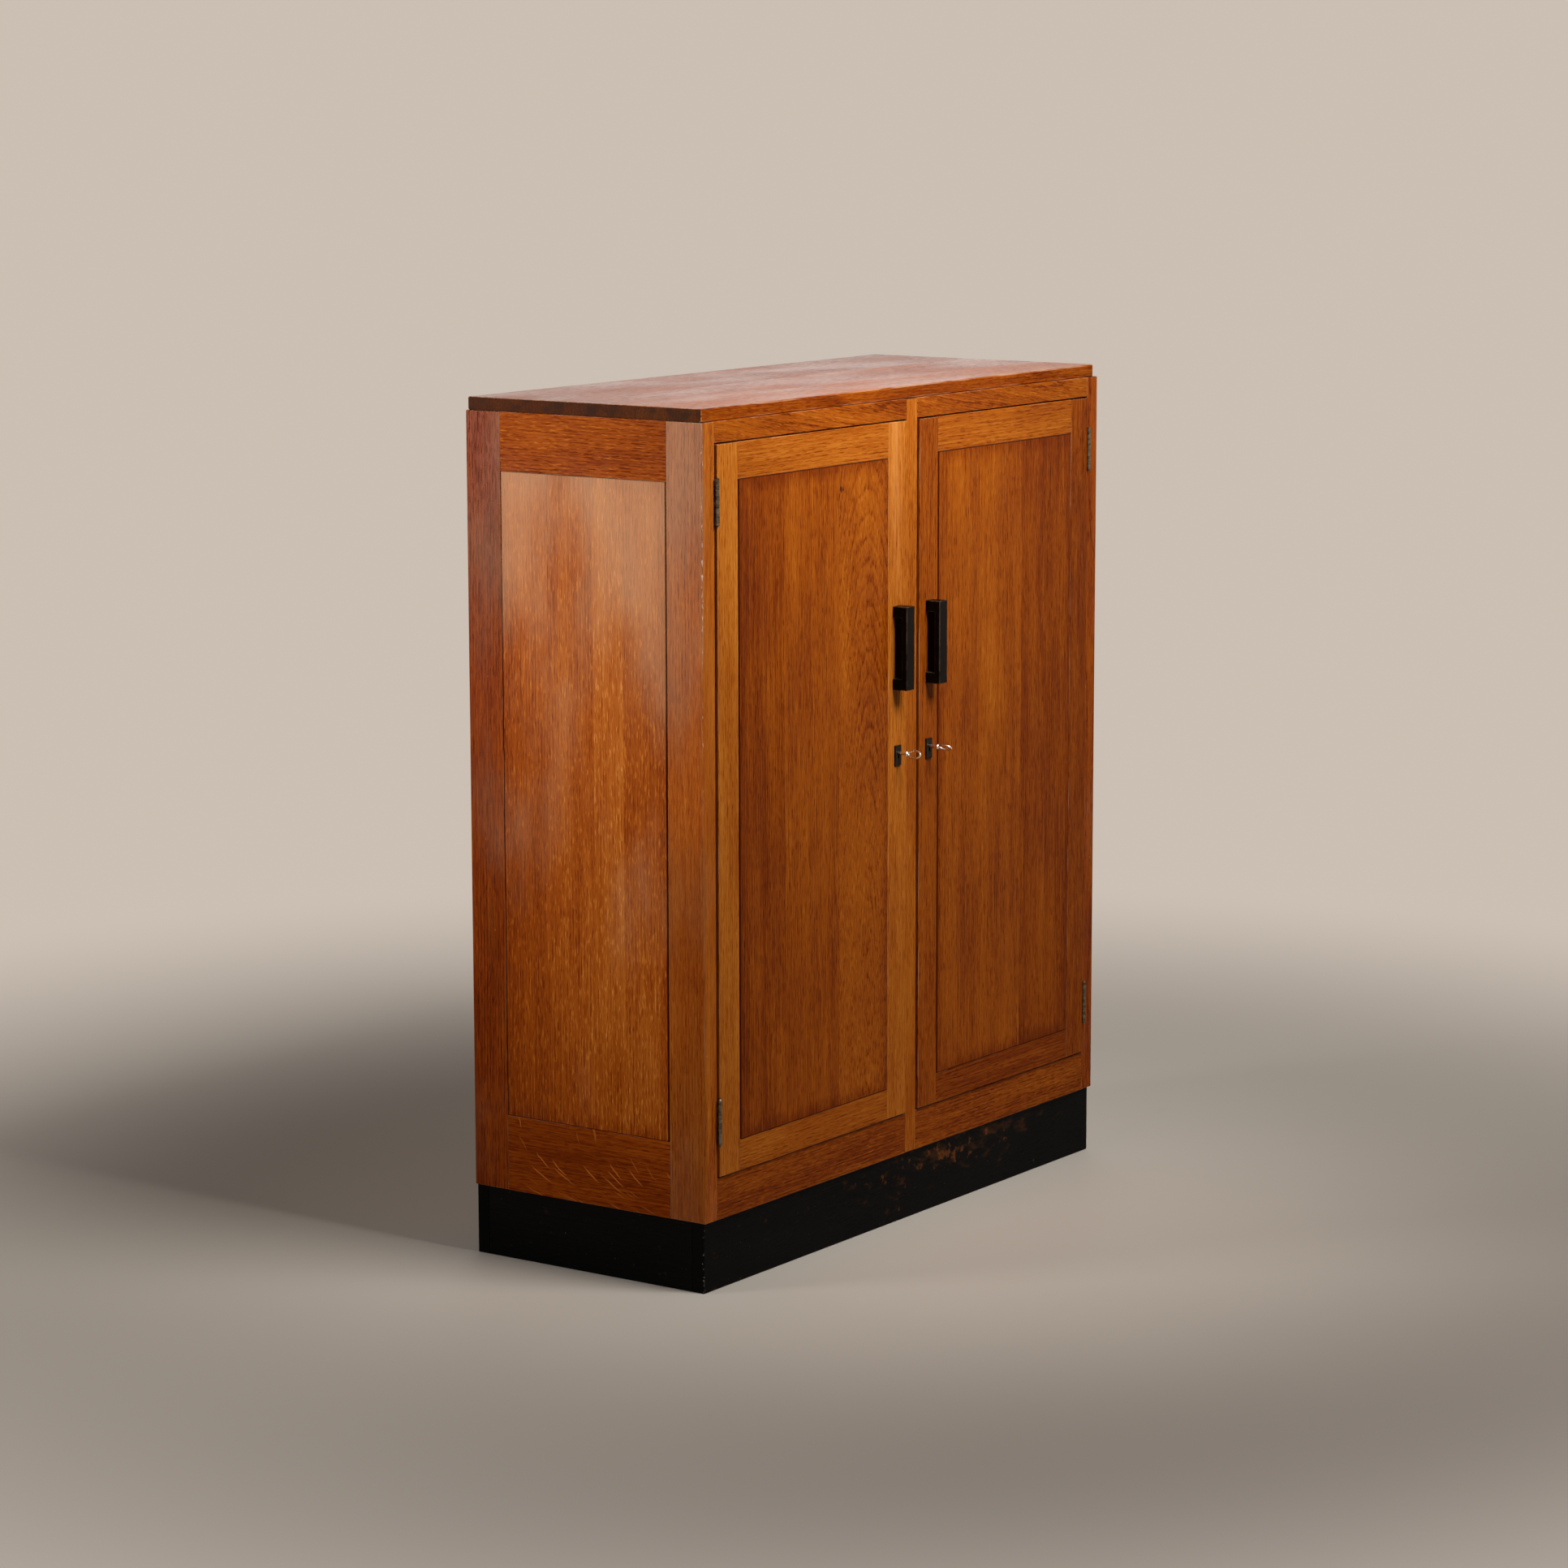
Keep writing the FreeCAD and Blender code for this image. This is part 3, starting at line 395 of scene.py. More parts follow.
# Painted light: the left front stile's front face is painted lighter and yellower.
wear_and_light_patch(wear_and_light_oak, centre=(front_arris.x + light_inset, front_arris.y, 0.8), size=(0.06, 0.005, 0.8),
       patch_shade=painted_face_light, grit=(0.03, 0.03, 0.25), cover=0.5, amount=0.35, soft=0.22)
# The left front arris is rubbed to bare wood and painted pale as a highlight.
wear_and_light_patch(wear_and_light_oak, centre=(front_arris.x, front_arris.y, 0.98), size=(0.0032, 0.0032, 0.42),
       patch_shade=bare_wood_and_highlight, grit=(0.0025, 0.0025, 0.009), cover=0.27, amount=0.85)
flaked_oak = timber("flaked_oak", red_shades, worn_oak, dark_ends, dull_wax, specular=0.015)
panel_side_gap = 0.0012
panel_end_gap = 0.0003
tongue_thick = 0.006
tongue_bite = 0.001
stile_arris = 0.0009
rail_arris = 0.0005
panel_arris = 0.0011
tongue_arris = 0.0003
# Panel arrises are darkened below zero: old polish and painted shade.
dark_seam = -0.8
# A rim this wide round each panel is darkened with dirt and painted shade.
dirt_and_shade_width = 0.022


def ray_flakes(finish, rail, shade_above):
    """Draws the flakes of a quarter-sawn rail, steep strokes that flatten towards its lower edge."""
    slope = 0.25
    waver = 0.009
    apart = 0.0105
    length = 0.125
    run_share = 0.8
    thinnest = 0.08
    thicker_by = 0.14
    tree = finish.node_tree
    place = on_object(tree)
    _, y, z = add_node(tree, "SeparateXYZ", {0: place}).outputs
    low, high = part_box(rail)
    drop = calc(tree, "SUBTRACT", high.z, z)
    bend = calc(tree, "DIVIDE", calc(tree, "POWER", drop, 3.0), (high.z - low.z) ** 2)
    run = calc(tree, "MULTIPLY_ADD", drop, slope, bend)
    ragged = streaks(tree, place, (0.03, 0.03, 0.02), detail=3.0)
    beside = calc(tree, "MULTIPLY_ADD", ragged, waver, calc(tree, "ADD", y, run))
    along = calc(tree, "MULTIPLY_ADD", run, run_share, drop)
    spot = add_node(tree, "CombineXYZ", {0: calc(tree, "DIVIDE", beside, apart),
                                         1: calc(tree, "DIVIDE", along, length)}).outputs[0]
    cells = add_node(tree, "TexVoronoi", {"Vector": spot, "Scale": 1.0}, voronoi_dimensions="2D").outputs
    kept, breadth, _ = add_node(tree, "SeparateColor", {0: cells["Color"]}).outputs
    reach = calc(tree, "MULTIPLY_ADD", breadth, thicker_by, thinnest)
    stroke = between(tree, calc(tree, "DIVIDE", cells["Distance"], reach), 0.5, 1.1, 1.0, 0.0)
    share = calc(tree, "MULTIPLY", stroke, between(tree, kept, 0.35, 0.75, 0.0, 0.85))
    lay_over(tree, share, shade_above)


ray_flakes(flaked_oak, "left_side_bottom_rail", shade_above=(0.56, 0.16, 0.025))


def frame_and_panel(stem, stiles, body, across, outward, looks, joints, finishes):
    """Stiles, the rails between them and a panel of glued boards, each its own piece.
    Across is the axis of its width, and outward the sign of the side that shows."""
    depth = 1 - across
    boxes = [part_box(stile) for stile in stiles]
    opening = (min(high[across] for low, high in boxes), max(low[across] for low, high in boxes))
    made = {}
    for stile in stiles:
        mesh = wood_mesh()
        add_block(mesh, *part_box(stile), "z", [looks[stile]], stile_arris)
        made[stile] = fit(f"oak_{stile}", mesh, finishes["stile"], body, "oak", stile)
    rails = {}
    for level in ("top", "bottom"):
        rail = f"{stem}_{level}_rail"
        low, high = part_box(rail)
        low[across], high[across] = opening
        rails[level] = (low.z, high.z)
        mesh = wood_mesh()
        add_block(mesh, low, high, "xyz"[across], [looks[rail]], rail_arris)
        made[rail] = fit(f"oak_{rail}", mesh, finishes[level], body, "oak", rail)
    panel = f"{stem}_panel"
    tongue_low, tongue_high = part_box(panel)
    field_low, field_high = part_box(panel)
    field_low[across] = opening[0] + panel_side_gap
    field_high[across] = opening[1] - panel_side_gap
    field_low.z = rails["bottom"][1] + panel_end_gap
    field_high.z = rails["top"][0] - panel_end_gap
    if outward < 0:
        tongue_low[depth] = tongue_high[depth] - tongue_thick
        field_high[depth] = tongue_low[depth] + tongue_bite
    else:
        tongue_high[depth] = tongue_low[depth] + tongue_thick
        field_low[depth] = tongue_high[depth] - tongue_bite
    mesh = wood_mesh()
    add_block(mesh, field_low, field_high, "z", looks[panel], panel_arris, arris_mark=dark_seam,
              joints=joints, dirt_and_shade_rim=dirt_and_shade_width)
    add_block(mesh, tongue_low, tongue_high, "z", looks[panel], tongue_arris, arris_mark=0.0, joints=joints)
    made[panel] = fit(f"oak_{panel}", mesh, finishes["panel"], body, "oak", panel)
    return made


for side, outward in (("left", -1), ("right", 1)):
    stem = f"{side}_side"
    looks = {
        f"{stem}_front_stile": sawn(0.01 if side == "left" else -0.13, fleck=0.7),
        f"{stem}_rear_stile": sawn(-0.22, fleck=0.3),
        f"{stem}_top_rail": sawn(-0.14, fleck=1.3),
        f"{stem}_bottom_rail": sawn(-0.18, fleck=0.3),
        f"{stem}_panel": [sawn(0.02, fleck=1.7), sawn(0.06, fleck=1.8), sawn(-0.04, fleck=1.6),
                          sawn(-0.06, fleck=1.4)],
    }
    stiles = (f"{stem}_front_stile", f"{stem}_rear_stile")
    finishes = {"stile": wear_and_light_oak, "panel": sheen_painted_oak, "top": red_oak, "bottom": flaked_oak}
    frame_and_panel(stem, stiles, "carcass", across=1, outward=outward, looks=looks,
                    joints=(0.26, 0.44, 0.72), finishes=finishes)

# The front frame is a mullion and four rails tenoned between it and the side stiles.
# A lip behind each rail stops the closed door; two strike plates are let into the mullion.
stop_lip = 0.008
lip_bite = 0.001
closing_gap = 0.0003
lip_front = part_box("left_door_lock_stile")[1].y + closing_gap
mullion_arris = 0.0008
front_rail_arris = 0.0006
lip_arris = 0.0004
overshoot = 0.001


def add_rod(mesh, start, end, radius):
    """Adds a round bar between two points."""
    run = end - start
    turn = run.to_track_quat("Z", "Y").to_matrix().to_4x4()
    bmesh.ops.create_cone(mesh, cap_ends=True, segments=24, radius1=radius, radius2=radius,
                          depth=run.length, matrix=Matrix.Translation((start + end) / 2) @ turn)


def add_box(mesh, low, high):
    """Adds a plain box between two corners."""
    bmesh.ops.create_cube(mesh, size=1.0, matrix=Matrix.LocRotScale((low + high) / 2, None, high - low))


def carve(piece, cutter):
    """Cuts a shape out of a piece, as a chisel or a drill does."""
    data = bpy.data.meshes.new("cutter")
    cutter.to_mesh(data)
    cutter.free()
    tool = bpy.data.objects.new("cutter", data)
    bpy.context.scene.collection.objects.link(tool)
    piece.modifiers.clear()
    recess = piece.modifiers.new("recess", "BOOLEAN")
    recess.operation = "DIFFERENCE"
    recess.solver = "EXACT"
    recess.object = tool
    graph = bpy.context.evaluated_depsgraph_get()
    carved = bpy.data.meshes.new_from_object(piece.evaluated_get(graph), depsgraph=graph)
    whole = piece.data
    piece.modifiers.clear()
    piece.data = carved
    bpy.data.meshes.remove(whole)
    bpy.data.objects.remove(tool)
    bpy.data.meshes.remove(data)
    shade(piece)


mullion_low, mullion_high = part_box("front_mullion")
mesh = wood_mesh()
# The mullion's arrises are darkened: old polish and painted shade beside the door gaps.
add_block(mesh, mullion_low, mullion_high, "z", [sawn(0.0)], mullion_arris, arris_mark=-0.5)
mullion = fit("oak_front_mullion", mesh, polished_oak, "carcass", "oak", "front_mullion")
strike_thick = 0.0012
bolt_room = 0.0006
bolt_hole_depth = 0.009
plates_low, plates_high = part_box("strike_plates")
for side, face, inward in (("left", mullion_low.x, 1), ("right", mullion_high.x, -1)):
    bolt_low, bolt_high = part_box(f"{side}_lock_bolt")
    for low, high, deep in (
            (plates_low, plates_high, strike_thick),
            (bolt_low - Vector((0, bolt_room, bolt_room)), bolt_high + Vector((0, bolt_room, bolt_room)),
             bolt_hole_depth)):
        ends = sorted((face + inward * deep, face - inward * overshoot))
        cutter = bmesh.new()
        add_box(cutter, Vector((ends[0], low.y, low.z)), Vector((ends[1], high.y, high.z)))
        carve(mullion, cutter)
for side in ("left", "right"):
    stile_low, stile_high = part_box(f"{side}_side_front_stile")
    if side == "left":
        run = (stile_high.x, mullion_low.x)
    else:
        run = (mullion_high.x, stile_low.x)
    for level, tone in (("top", -0.13), ("bottom", -0.17)):
        rail = f"front_{side}_{level}_rail"
        low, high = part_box(rail)
        low.x, high.x = run
        lip_low, lip_high = low.copy(), high.copy()
        lip_low.y = lip_front
        if level == "top":
            low.z += stop_lip
            lip_high.z = low.z + lip_bite
        else:
            high.z -= stop_lip
            lip_low.z = high.z - lip_bite
        look = sawn(tone, lean=0.16 if level == "top" else 0.02, fleck=0.9)
        mesh = wood_mesh()
        add_block(mesh, low, high, "x", [look], front_rail_arris)
        add_block(mesh, lip_low, lip_high, "x", [look], lip_arris, arris_mark=0.0)
        fit(f"oak_{rail}", mesh, polished_oak, "carcass", "oak", rail)

# The top is a thin board glued up from three, set in a little from the sides and the front.
# Its edges are rounded, its ends show dark end grain, and its upper face is polished to a soft sheen.
edge_oak = timber("edge_oak", oak_shades, worn_oak, dark_ends, dull_wax, specular=0.02)
top_polish = timber("top_polish", oak_shades, worn_oak, dark_ends, (0.3, 0.42), specular=0.38)
top_arris = 0.002
mesh = wood_mesh()
add_block(mesh, *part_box("top_board"), "x", [sawn(-0.2), sawn(-0.25), sawn(-0.3)], top_arris, arris_mark=0.4,
          joints=(0.27, 0.58))
top_board = fit("oak_top_board", mesh, edge_oak, "carcass", "oak", "top_board")
top_board.data.materials.append(top_polish)
for face in top_board.data.polygons:
    if face.normal.z > square_on:
        face.material_index = 1

# Inside are a floor, a partition, a back rail, two back panels and four loose shelves.
# They are plain oak boards, oiled, and the shelves lie on battens screwed to the sides.
inner_arris = 0.0008
batten_arris = 0.0012
for node, along, tone, joints in (
        ("floor_board", "x", 0.0, (0.4, 0.7)),
        ("partition", "z", 0.02, (0.3, 0.65)),
        ("back_top_rail", "x", -0.03, ()),
        ("left_back_panel", "z", 0.0, (0.22, 0.48, 0.77)),
        ("right_back_panel", "z", 0.03, (0.3, 0.55, 0.8)),
        ("left_shelf_1", "x", 0.02, (0.35, 0.72)),
        ("left_shelf_2", "x", 0.05, (0.3, 0.62)),
        ("right_shelf_1", "x", 0.0, (0.4, 0.7)),
        ("right_shelf_2", "x", 0.03, (0.28, 0.66))):
    boards = [sawn(tone + chance.uniform(-0.06, 0.06)) for _ in range(len(joints) + 1)]
    mesh = wood_mesh()
    add_block(mesh, *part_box(node), along, boards, inner_arris, arris_mark=0.2, joints=joints)
    fit(f"plain_{node}", mesh, inner_oak, "carcass", "inner_wood", node)
batten_thick = 0.014
batten_high = 0.020
battens_low, battens_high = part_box("shelf_battens")
partition_low, partition_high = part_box("partition")
mesh = wood_mesh()
tops = [(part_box("floor_board")[0].z, (battens_low.x, battens_high.x - batten_thick))]
for shelf in ("left_shelf_1", "left_shelf_2"):
    tops.append((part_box(shelf)[0].z, (battens_low.x, partition_low.x - batten_thick, partition_high.x,
                                      battens_high.x - batten_thick)))
for top, starts in tops:
    for x in starts:
        add_block(mesh, Vector((x, battens_low.y, top - batten_high)),
                  Vector((x + batten_thick, battens_high.y, top)), "y", [sawn(-0.04)], batten_arris)
fit("plain_shelf_battens", mesh, inner_oak, "carcass", "inner_wood", "shelf_battens")

# Each door is a frame and panel like the sides, a little proud of the front frame.
# The hinge stile is notched for the knuckles, and the lock stile is mortised for the lock.
# The left lock stile is painted paler towards its top as a painted sheen, and the left panel has one dark
# pin knot.
hinge_height = 0.060
knuckle_room = 0.0033
pin_room = 0.003
tip_room = 0.0004
lock_case_height = 0.046
lock_bottom_above = 0.009
selvedge_thick = 0.002
keyhole_radius = 0.003
keyhole_slot = (0.003, 0.008)
key_axes = {joint["child"]: Vector(joint["pos_m"]) for joint in frame["joints"] if joint["type"] == "hinge"}
lock_sheen_oak = timber("lock_sheen_oak", oak_shades, worn_oak, dark_ends, satin, specular=0.025)
painted_sheen_honey = (0.62, 0.26, 0.07)
sheen_beside = 0.019
lock_stile_low, lock_stile_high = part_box("left_door_lock_stile")
# Painted sheen: the left lock stile is painted paler towards its top.
wear_and_light_patch(lock_sheen_oak, centre=(lock_stile_low.x + sheen_beside, lock_stile_low.y, lock_stile_high.z),
       size=(0.026, 0.01, 0.36), patch_shade=painted_sheen_honey, grit=(0.004, 0.02, 0.09), cover=0.42, amount=0.5,
       soft=0.2)
knot_brown = (0.03, 0.008, 0.002)
knot_beside = 0.25
knot_below = 0.041
door_panel_low, door_panel_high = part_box("left_door_panel")
wear_and_light_patch(polished_oak,
       centre=(door_panel_low.x + knot_beside, door_panel_low.y, door_panel_high.z - knot_below),
       size=(0.008, 0.02, 0.008), patch_shade=knot_brown, grit=(0.003, 0.02, 0.003), cover=0.5, amount=0.85)
for side in ("left", "right"):
    stem = f"{side}_door"
    if side == "left":
        panel_looks = [sawn(-0.18), sawn(-0.13), sawn(-0.08, across=0.012, deep=-0.045, lean=0.13)]
        joints = (0.3, 0.66)
    else:
        panel_looks = [sawn(-0.09), sawn(-0.1), sawn(-0.19)]
        joints = (0.3, 0.62)
    looks = {
        f"{stem}_hinge_stile": sawn(0.05 if side == "left" else -0.18),
        f"{stem}_lock_stile": sawn(0.08 if side == "left" else -0.15),
        f"{stem}_top_rail": sawn(0.03 if side == "left" else 0.0, fleck=0.2),
        f"{stem}_bottom_rail": sawn(-0.03 if side == "left" else -0.23, fleck=0.2),
        f"{stem}_panel": panel_looks,
    }
    stiles = (f"{stem}_hinge_stile", f"{stem}_lock_stile")
    finishes = dict.fromkeys(("stile", "panel", "top", "bottom"), polished_oak)
    if side == "left":
        finishes["stile"] = lock_sheen_oak
    made = frame_and_panel(stem, stiles, stem, across=0, outward=-1, looks=looks, joints=joints,
                           finishes=finishes)
    pins_low, pins_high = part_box(f"{side}_hinge_pins")
    axis = (pins_low + pins_high) / 2
    for bottom in (pins_low.z, pins_high.z - hinge_height - 2 * pin_room):
        cutter = bmesh.new()
        add_rod(cutter, Vector((axis.x, axis.y, bottom - tip_room)),
                Vector((axis.x, axis.y, bottom + hinge_height + 2 * pin_room)), knuckle_room)
        carve(made[stiles[0]], cutter)
    case_low, case_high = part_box(f"{side}_lock_case")
    plate_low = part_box(f"{side}_escutcheon")[0]
    case_bottom = case_low.z + lock_bottom_above
    edge = case_high.x if side == "left" else case_low.x
    inward = -1 if side == "left" else 1
    past_edge = edge - inward * overshoot
    past_back = case_high.y + overshoot
    into_case = case_low.y + overshoot
    plate_run = sorted((past_edge, edge + inward * selvedge_thick))
    case_run = sorted((past_edge, case_low.x if side == "left" else case_high.x))
    key_x, _, key_z = key_axes[f"{side}_key"]
    for run, bottom, top in ((case_run, case_bottom, case_bottom + lock_case_height),
                             (plate_run, case_low.z, case_high.z)):
        cutter = bmesh.new()
        add_box(cutter, Vector((run[0], case_low.y, bottom)), Vector((run[1], past_back, top)))
        carve(made[stiles[1]], cutter)
    cutter = bmesh.new()
    add_rod(cutter, Vector((key_x, plate_low.y, key_z)), Vector((key_x, into_case, key_z)), keyhole_radius)
    carve(made[stiles[1]], cutter)
    cutter = bmesh.new()
    add_box(cutter, Vector((key_x - keyhole_slot[0] / 2, plate_low.y, key_z - keyhole_slot[1])),
            Vector((key_x + keyhole_slot[0] / 2, into_case, key_z)))
    carve(made[stiles[1]], cutter)

# The doors hang on steel butt hinges with five knuckles and button-tipped pins.
# Three slotted screws hold each leaf.
def metal(name, light, dark, roughness, brushed):
    """A metal with a mottled surface, faint scratches and darker spots."""
    finish, tree, shader = new_finish(name)
    place = on_object(tree)
    mottle = streaks(tree, place, (0.006, 0.006, 0.006), detail=4.0)
    scratch = streaks(tree, place, brushed)
    blend = calc(tree, "MULTIPLY_ADD", scratch, 0.5, calc(tree, "MULTIPLY", mottle, 0.7))
    colour = blended(tree, between(tree, blend, 0.42, 0.8), dark, light)
    tree.links.new(colour, shader.inputs["Base Color"])
    tree.links.new(between(tree, mottle, 0.3, 0.7, *roughness), shader.inputs["Roughness"])
    shader.inputs["Metallic"].default_value = 1.0
    add_relief(tree, shader, scratch, strength=0.15, distance=0.0002)
    return finish


def add_screw(mesh, place, outward, radius, thick, turn):
    """Adds a round slotted screw head whose top stands a little out of what it holds."""
    slot_width = radius * 0.34
    slot_depth = thick * 0.6
    top_radius = radius * 0.9
    held = set(mesh.faces)
    upright = Matrix.Rotation(turn, 4, "Z")
    bmesh.ops.create_cone(mesh, cap_ends=True, segments=20, radius1=radius, radius2=top_radius,
                          depth=thick, matrix=Matrix.Translation((0, 0, thick / 2)))
    for edge in (-slot_width / 2, slot_width / 2):
        faces = [face for face in mesh.faces if face not in held]
        edges = list({edge_line for face in faces for edge_line in face.edges})
        verts = list({vert for face in faces for vert in face.verts})
        bmesh.ops.bisect_plane(mesh, geom=verts + edges + faces, dist=1e-7,
                               plane_co=(edge, 0, 0), plane_no=(1, 0, 0))
    mesh.normal_update()
    slot = [face for face in mesh.faces if face not in held and face.normal.z > square_on
            and abs(face.calc_center_median().x) < slot_width / 4]
    sunk = bmesh.ops.extrude_face_region(mesh, geom=slot)["geom"]
    floor = [item for item in sunk if isinstance(item, bmesh.types.BMVert)]
    bmesh.ops.translate(mesh, vec=(0, 0, -slot_depth), verts=floor)
    bmesh.ops.delete(mesh, geom=[face for face in slot if face.is_valid], context="FACES_ONLY")
    fresh = list({vert for face in mesh.faces if face not in held for vert in face.verts})
    facing = outward.to_track_quat("Z", "Y").to_matrix().to_4x4()
    bmesh.ops.transform(mesh, matrix=Matrix.Translation(place) @ facing @ upright, verts=fresh)


hinge_steel = metal("hinge_steel", light=(0.24, 0.2, 0.14), dark=(0.06, 0.045, 0.03),
                    roughness=(0.34, 0.5), brushed=(0.02, 0.02, 0.0006))
leaf_gap = 0.0004
leaf_reach = 0.010
leaf_screw_radius = 0.0023
pin_tip = 0.0025
head_proud = 0.00008
head_thick = 0.0008
for side, inward in (("left", 1), ("right", -1)):
    for node in ("hinge_frame_leaves", "hinge_door_leaves", "hinge_pins"):
        frame["nodes"][f"{side}_{node}"].data.materials[0] = hinge_steel
    pins_low, pins_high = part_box(f"{side}_hinge_pins")
    axis = (pins_low + pins_high) / 2
    for body, turned, leaf in (("carcass", 1, "frame"), (f"{side}_door", -1, "door")):
        outward = Vector((inward * turned, 0, 0))
        face = axis.x - outward.x * (leaf_gap / 2 - head_proud + head_thick)
        mesh = bmesh.new()
        for bottom in (pins_low.z + pin_tip, pins_high.z - pin_tip - hinge_height):
            for share in (1 / 6, 1 / 2, 5 / 6):
                place = Vector((face, axis.y + knuckle_room + leaf_reach, bottom + share * hinge_height))
                add_screw(mesh, place, outward, leaf_screw_radius, head_thick, chance.uniform(0, math.pi))
        fit(f"{side}_{leaf}_leaf_screws", mesh, hinge_steel, body, "hinge_steel")

# Each pull is a squared bar of wood, stained black and polished, held by two brass screws.
# Both sides are hollowed for the fingers between full feet; its edges are rounded and painted lighter
# brown, for wear and as a painted highlight.
handle_foot = 0.016
handle_grip = 0.009
handle_hollow = 0.0055
handle_round = 0.0012
handle_overshoot = 0.002
worn_and_lit_brown = (0.06, 0.042, 0.03)
black_polish, tree, shader = new_finish("black_polish")
place = on_object(tree)
fibres = streaks(tree, place, (0.0012, 0.0012, 0.03), detail=3.0)
smudge = streaks(tree, place, (0.012, 0.012, 0.02), detail=3.0)
mottle = calc(tree, "MULTIPLY_ADD", fibres, 0.4, calc(tree, "MULTIPLY", smudge, 0.6))
stain = shaded(tree, mottle, [
    (0.3, (0.0025, 0.0015, 0.0012)), (0.6, (0.006, 0.0036, 0.0026)), (0.85, (0.018, 0.01, 0.006))])
tree.links.new(stain, shader.inputs["Base Color"])
tree.links.new(between(tree, smudge, 0.3, 0.7, 0.22, 0.36), shader.inputs["Roughness"])
shader.inputs["Specular IOR Level"].default_value = 0.04
# The rounded rims are painted lighter brown, for wear and as a painted highlight.
rim_wear_and_highlight = kept_on_mesh(tree, "rim", "Fac")
rim_share = calc(tree, "MULTIPLY", rim_wear_and_highlight, between(tree, smudge, 0.4, 0.6, 0.2, 0.9))
lay_over(tree, rim_share, worn_and_lit_brown)
add_relief(tree, shader, fibres, strength=0.12, distance=0.0003)
screw_brass = metal("screw_brass", light=(0.66, 0.44, 0.17), dark=(0.3, 0.17, 0.06),
                    roughness=(0.3, 0.45), brushed=(0.004, 0.0008, 0.004))
for side in ("left", "right"):
    low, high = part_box(f"{side}_handle")
    mesh = bmesh.new()
    add_box(mesh, low, high)
    pull = fit(f"{side}_bar_handle", mesh, black_polish, f"{side}_door", "ebonised_handle",
               f"{side}_handle")
    for face, inward in ((low.x, 1), (high.x, -1)):
        run = sorted((face - inward * handle_overshoot, face + inward * handle_hollow))
        cutter = bmesh.new()
        add_box(cutter, Vector((run[0], low.y + handle_grip, low.z + handle_foot)),
                Vector((run[1], high.y + handle_overshoot, high.z - handle_foot)))
        carve(pull, cutter)
    mesh = bmesh.new()
    mesh.from_mesh(pull.data)
    rim = mesh.faces.layers.float.new("rim")
    corners = [edge for edge in mesh.edges if edge.calc_face_angle(0.0) > math.radians(40)]
    rounded = bmesh.ops.bevel(mesh, geom=corners, offset=handle_round, offset_type="OFFSET", segments=3,
                              profile=0.5, affect="EDGES", material=-1)
    for face in rounded["faces"]:
        face[rim] = 1.0
    mesh.to_mesh(pull.data)
    mesh.free()
    pull.modifiers.clear()
    shade(pull)
    screws_low, screws_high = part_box(f"{side}_handle_screws")
    head_radius = (screws_high.x - screws_low.x) / 2
    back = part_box(f"{side}_door_lock_stile")[1].y
    mesh = bmesh.new()
    for z in (screws_low.z + head_radius, screws_high.z - head_radius):
        add_screw(mesh, Vector(((low.x + high.x) / 2, back, z)), Vector((0, 1, 0)), head_radius,
                  screws_high.y - back, chance.uniform(0, math.pi))
    fit(f"{side}_slotted_handle_screws", mesh, screw_brass, f"{side}_door", "screw_brass",
        f"{side}_handle_screws")

# A small black plate covers each keyhole, pinned top and bottom.
# It is painted steel, worn to a brownish black.
black_plate, tree, shader = new_finish("black_plate")
wear = streaks(tree, on_object(tree), (0.005, 0.005, 0.008), detail=4.0)
paint = shaded(tree, wear, [
    (0.35, (0.006, 0.004, 0.003)), (0.6, (0.014, 0.008, 0.005)), (0.8, (0.045, 0.026, 0.016))])
tree.links.new(paint, shader.inputs["Base Color"])
tree.links.new(between(tree, wear, 0.3, 0.7, 0.35, 0.5), shader.inputs["Roughness"])
shader.inputs["Specular IOR Level"].default_value = 0.08
plate_pin_radius = 0.001
plate_pin_inset = 0.0028
plate_pin_flatness = 0.45
for side in ("left", "right"):
    frame["nodes"][f"{side}_escutcheon"].data.materials[0] = black_plate
    low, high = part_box(f"{side}_escutcheon")
    mesh = bmesh.new()
    for z in (low.z + plate_pin_inset, high.z - plate_pin_inset):
        pin = bmesh.ops.create_uvsphere(mesh, u_segments=12, v_segments=6, radius=plate_pin_radius)
        flattened = Matrix.Diagonal((1, plate_pin_flatness, 1, 1))
        place = Matrix.Translation(((low.x + high.x) / 2, low.y, z)) @ flattened
        bmesh.ops.transform(mesh, matrix=place, verts=pin["verts"])
    fit(f"{side}_plate_pins", mesh, black_plate, f"{side}_door", "black_metal")

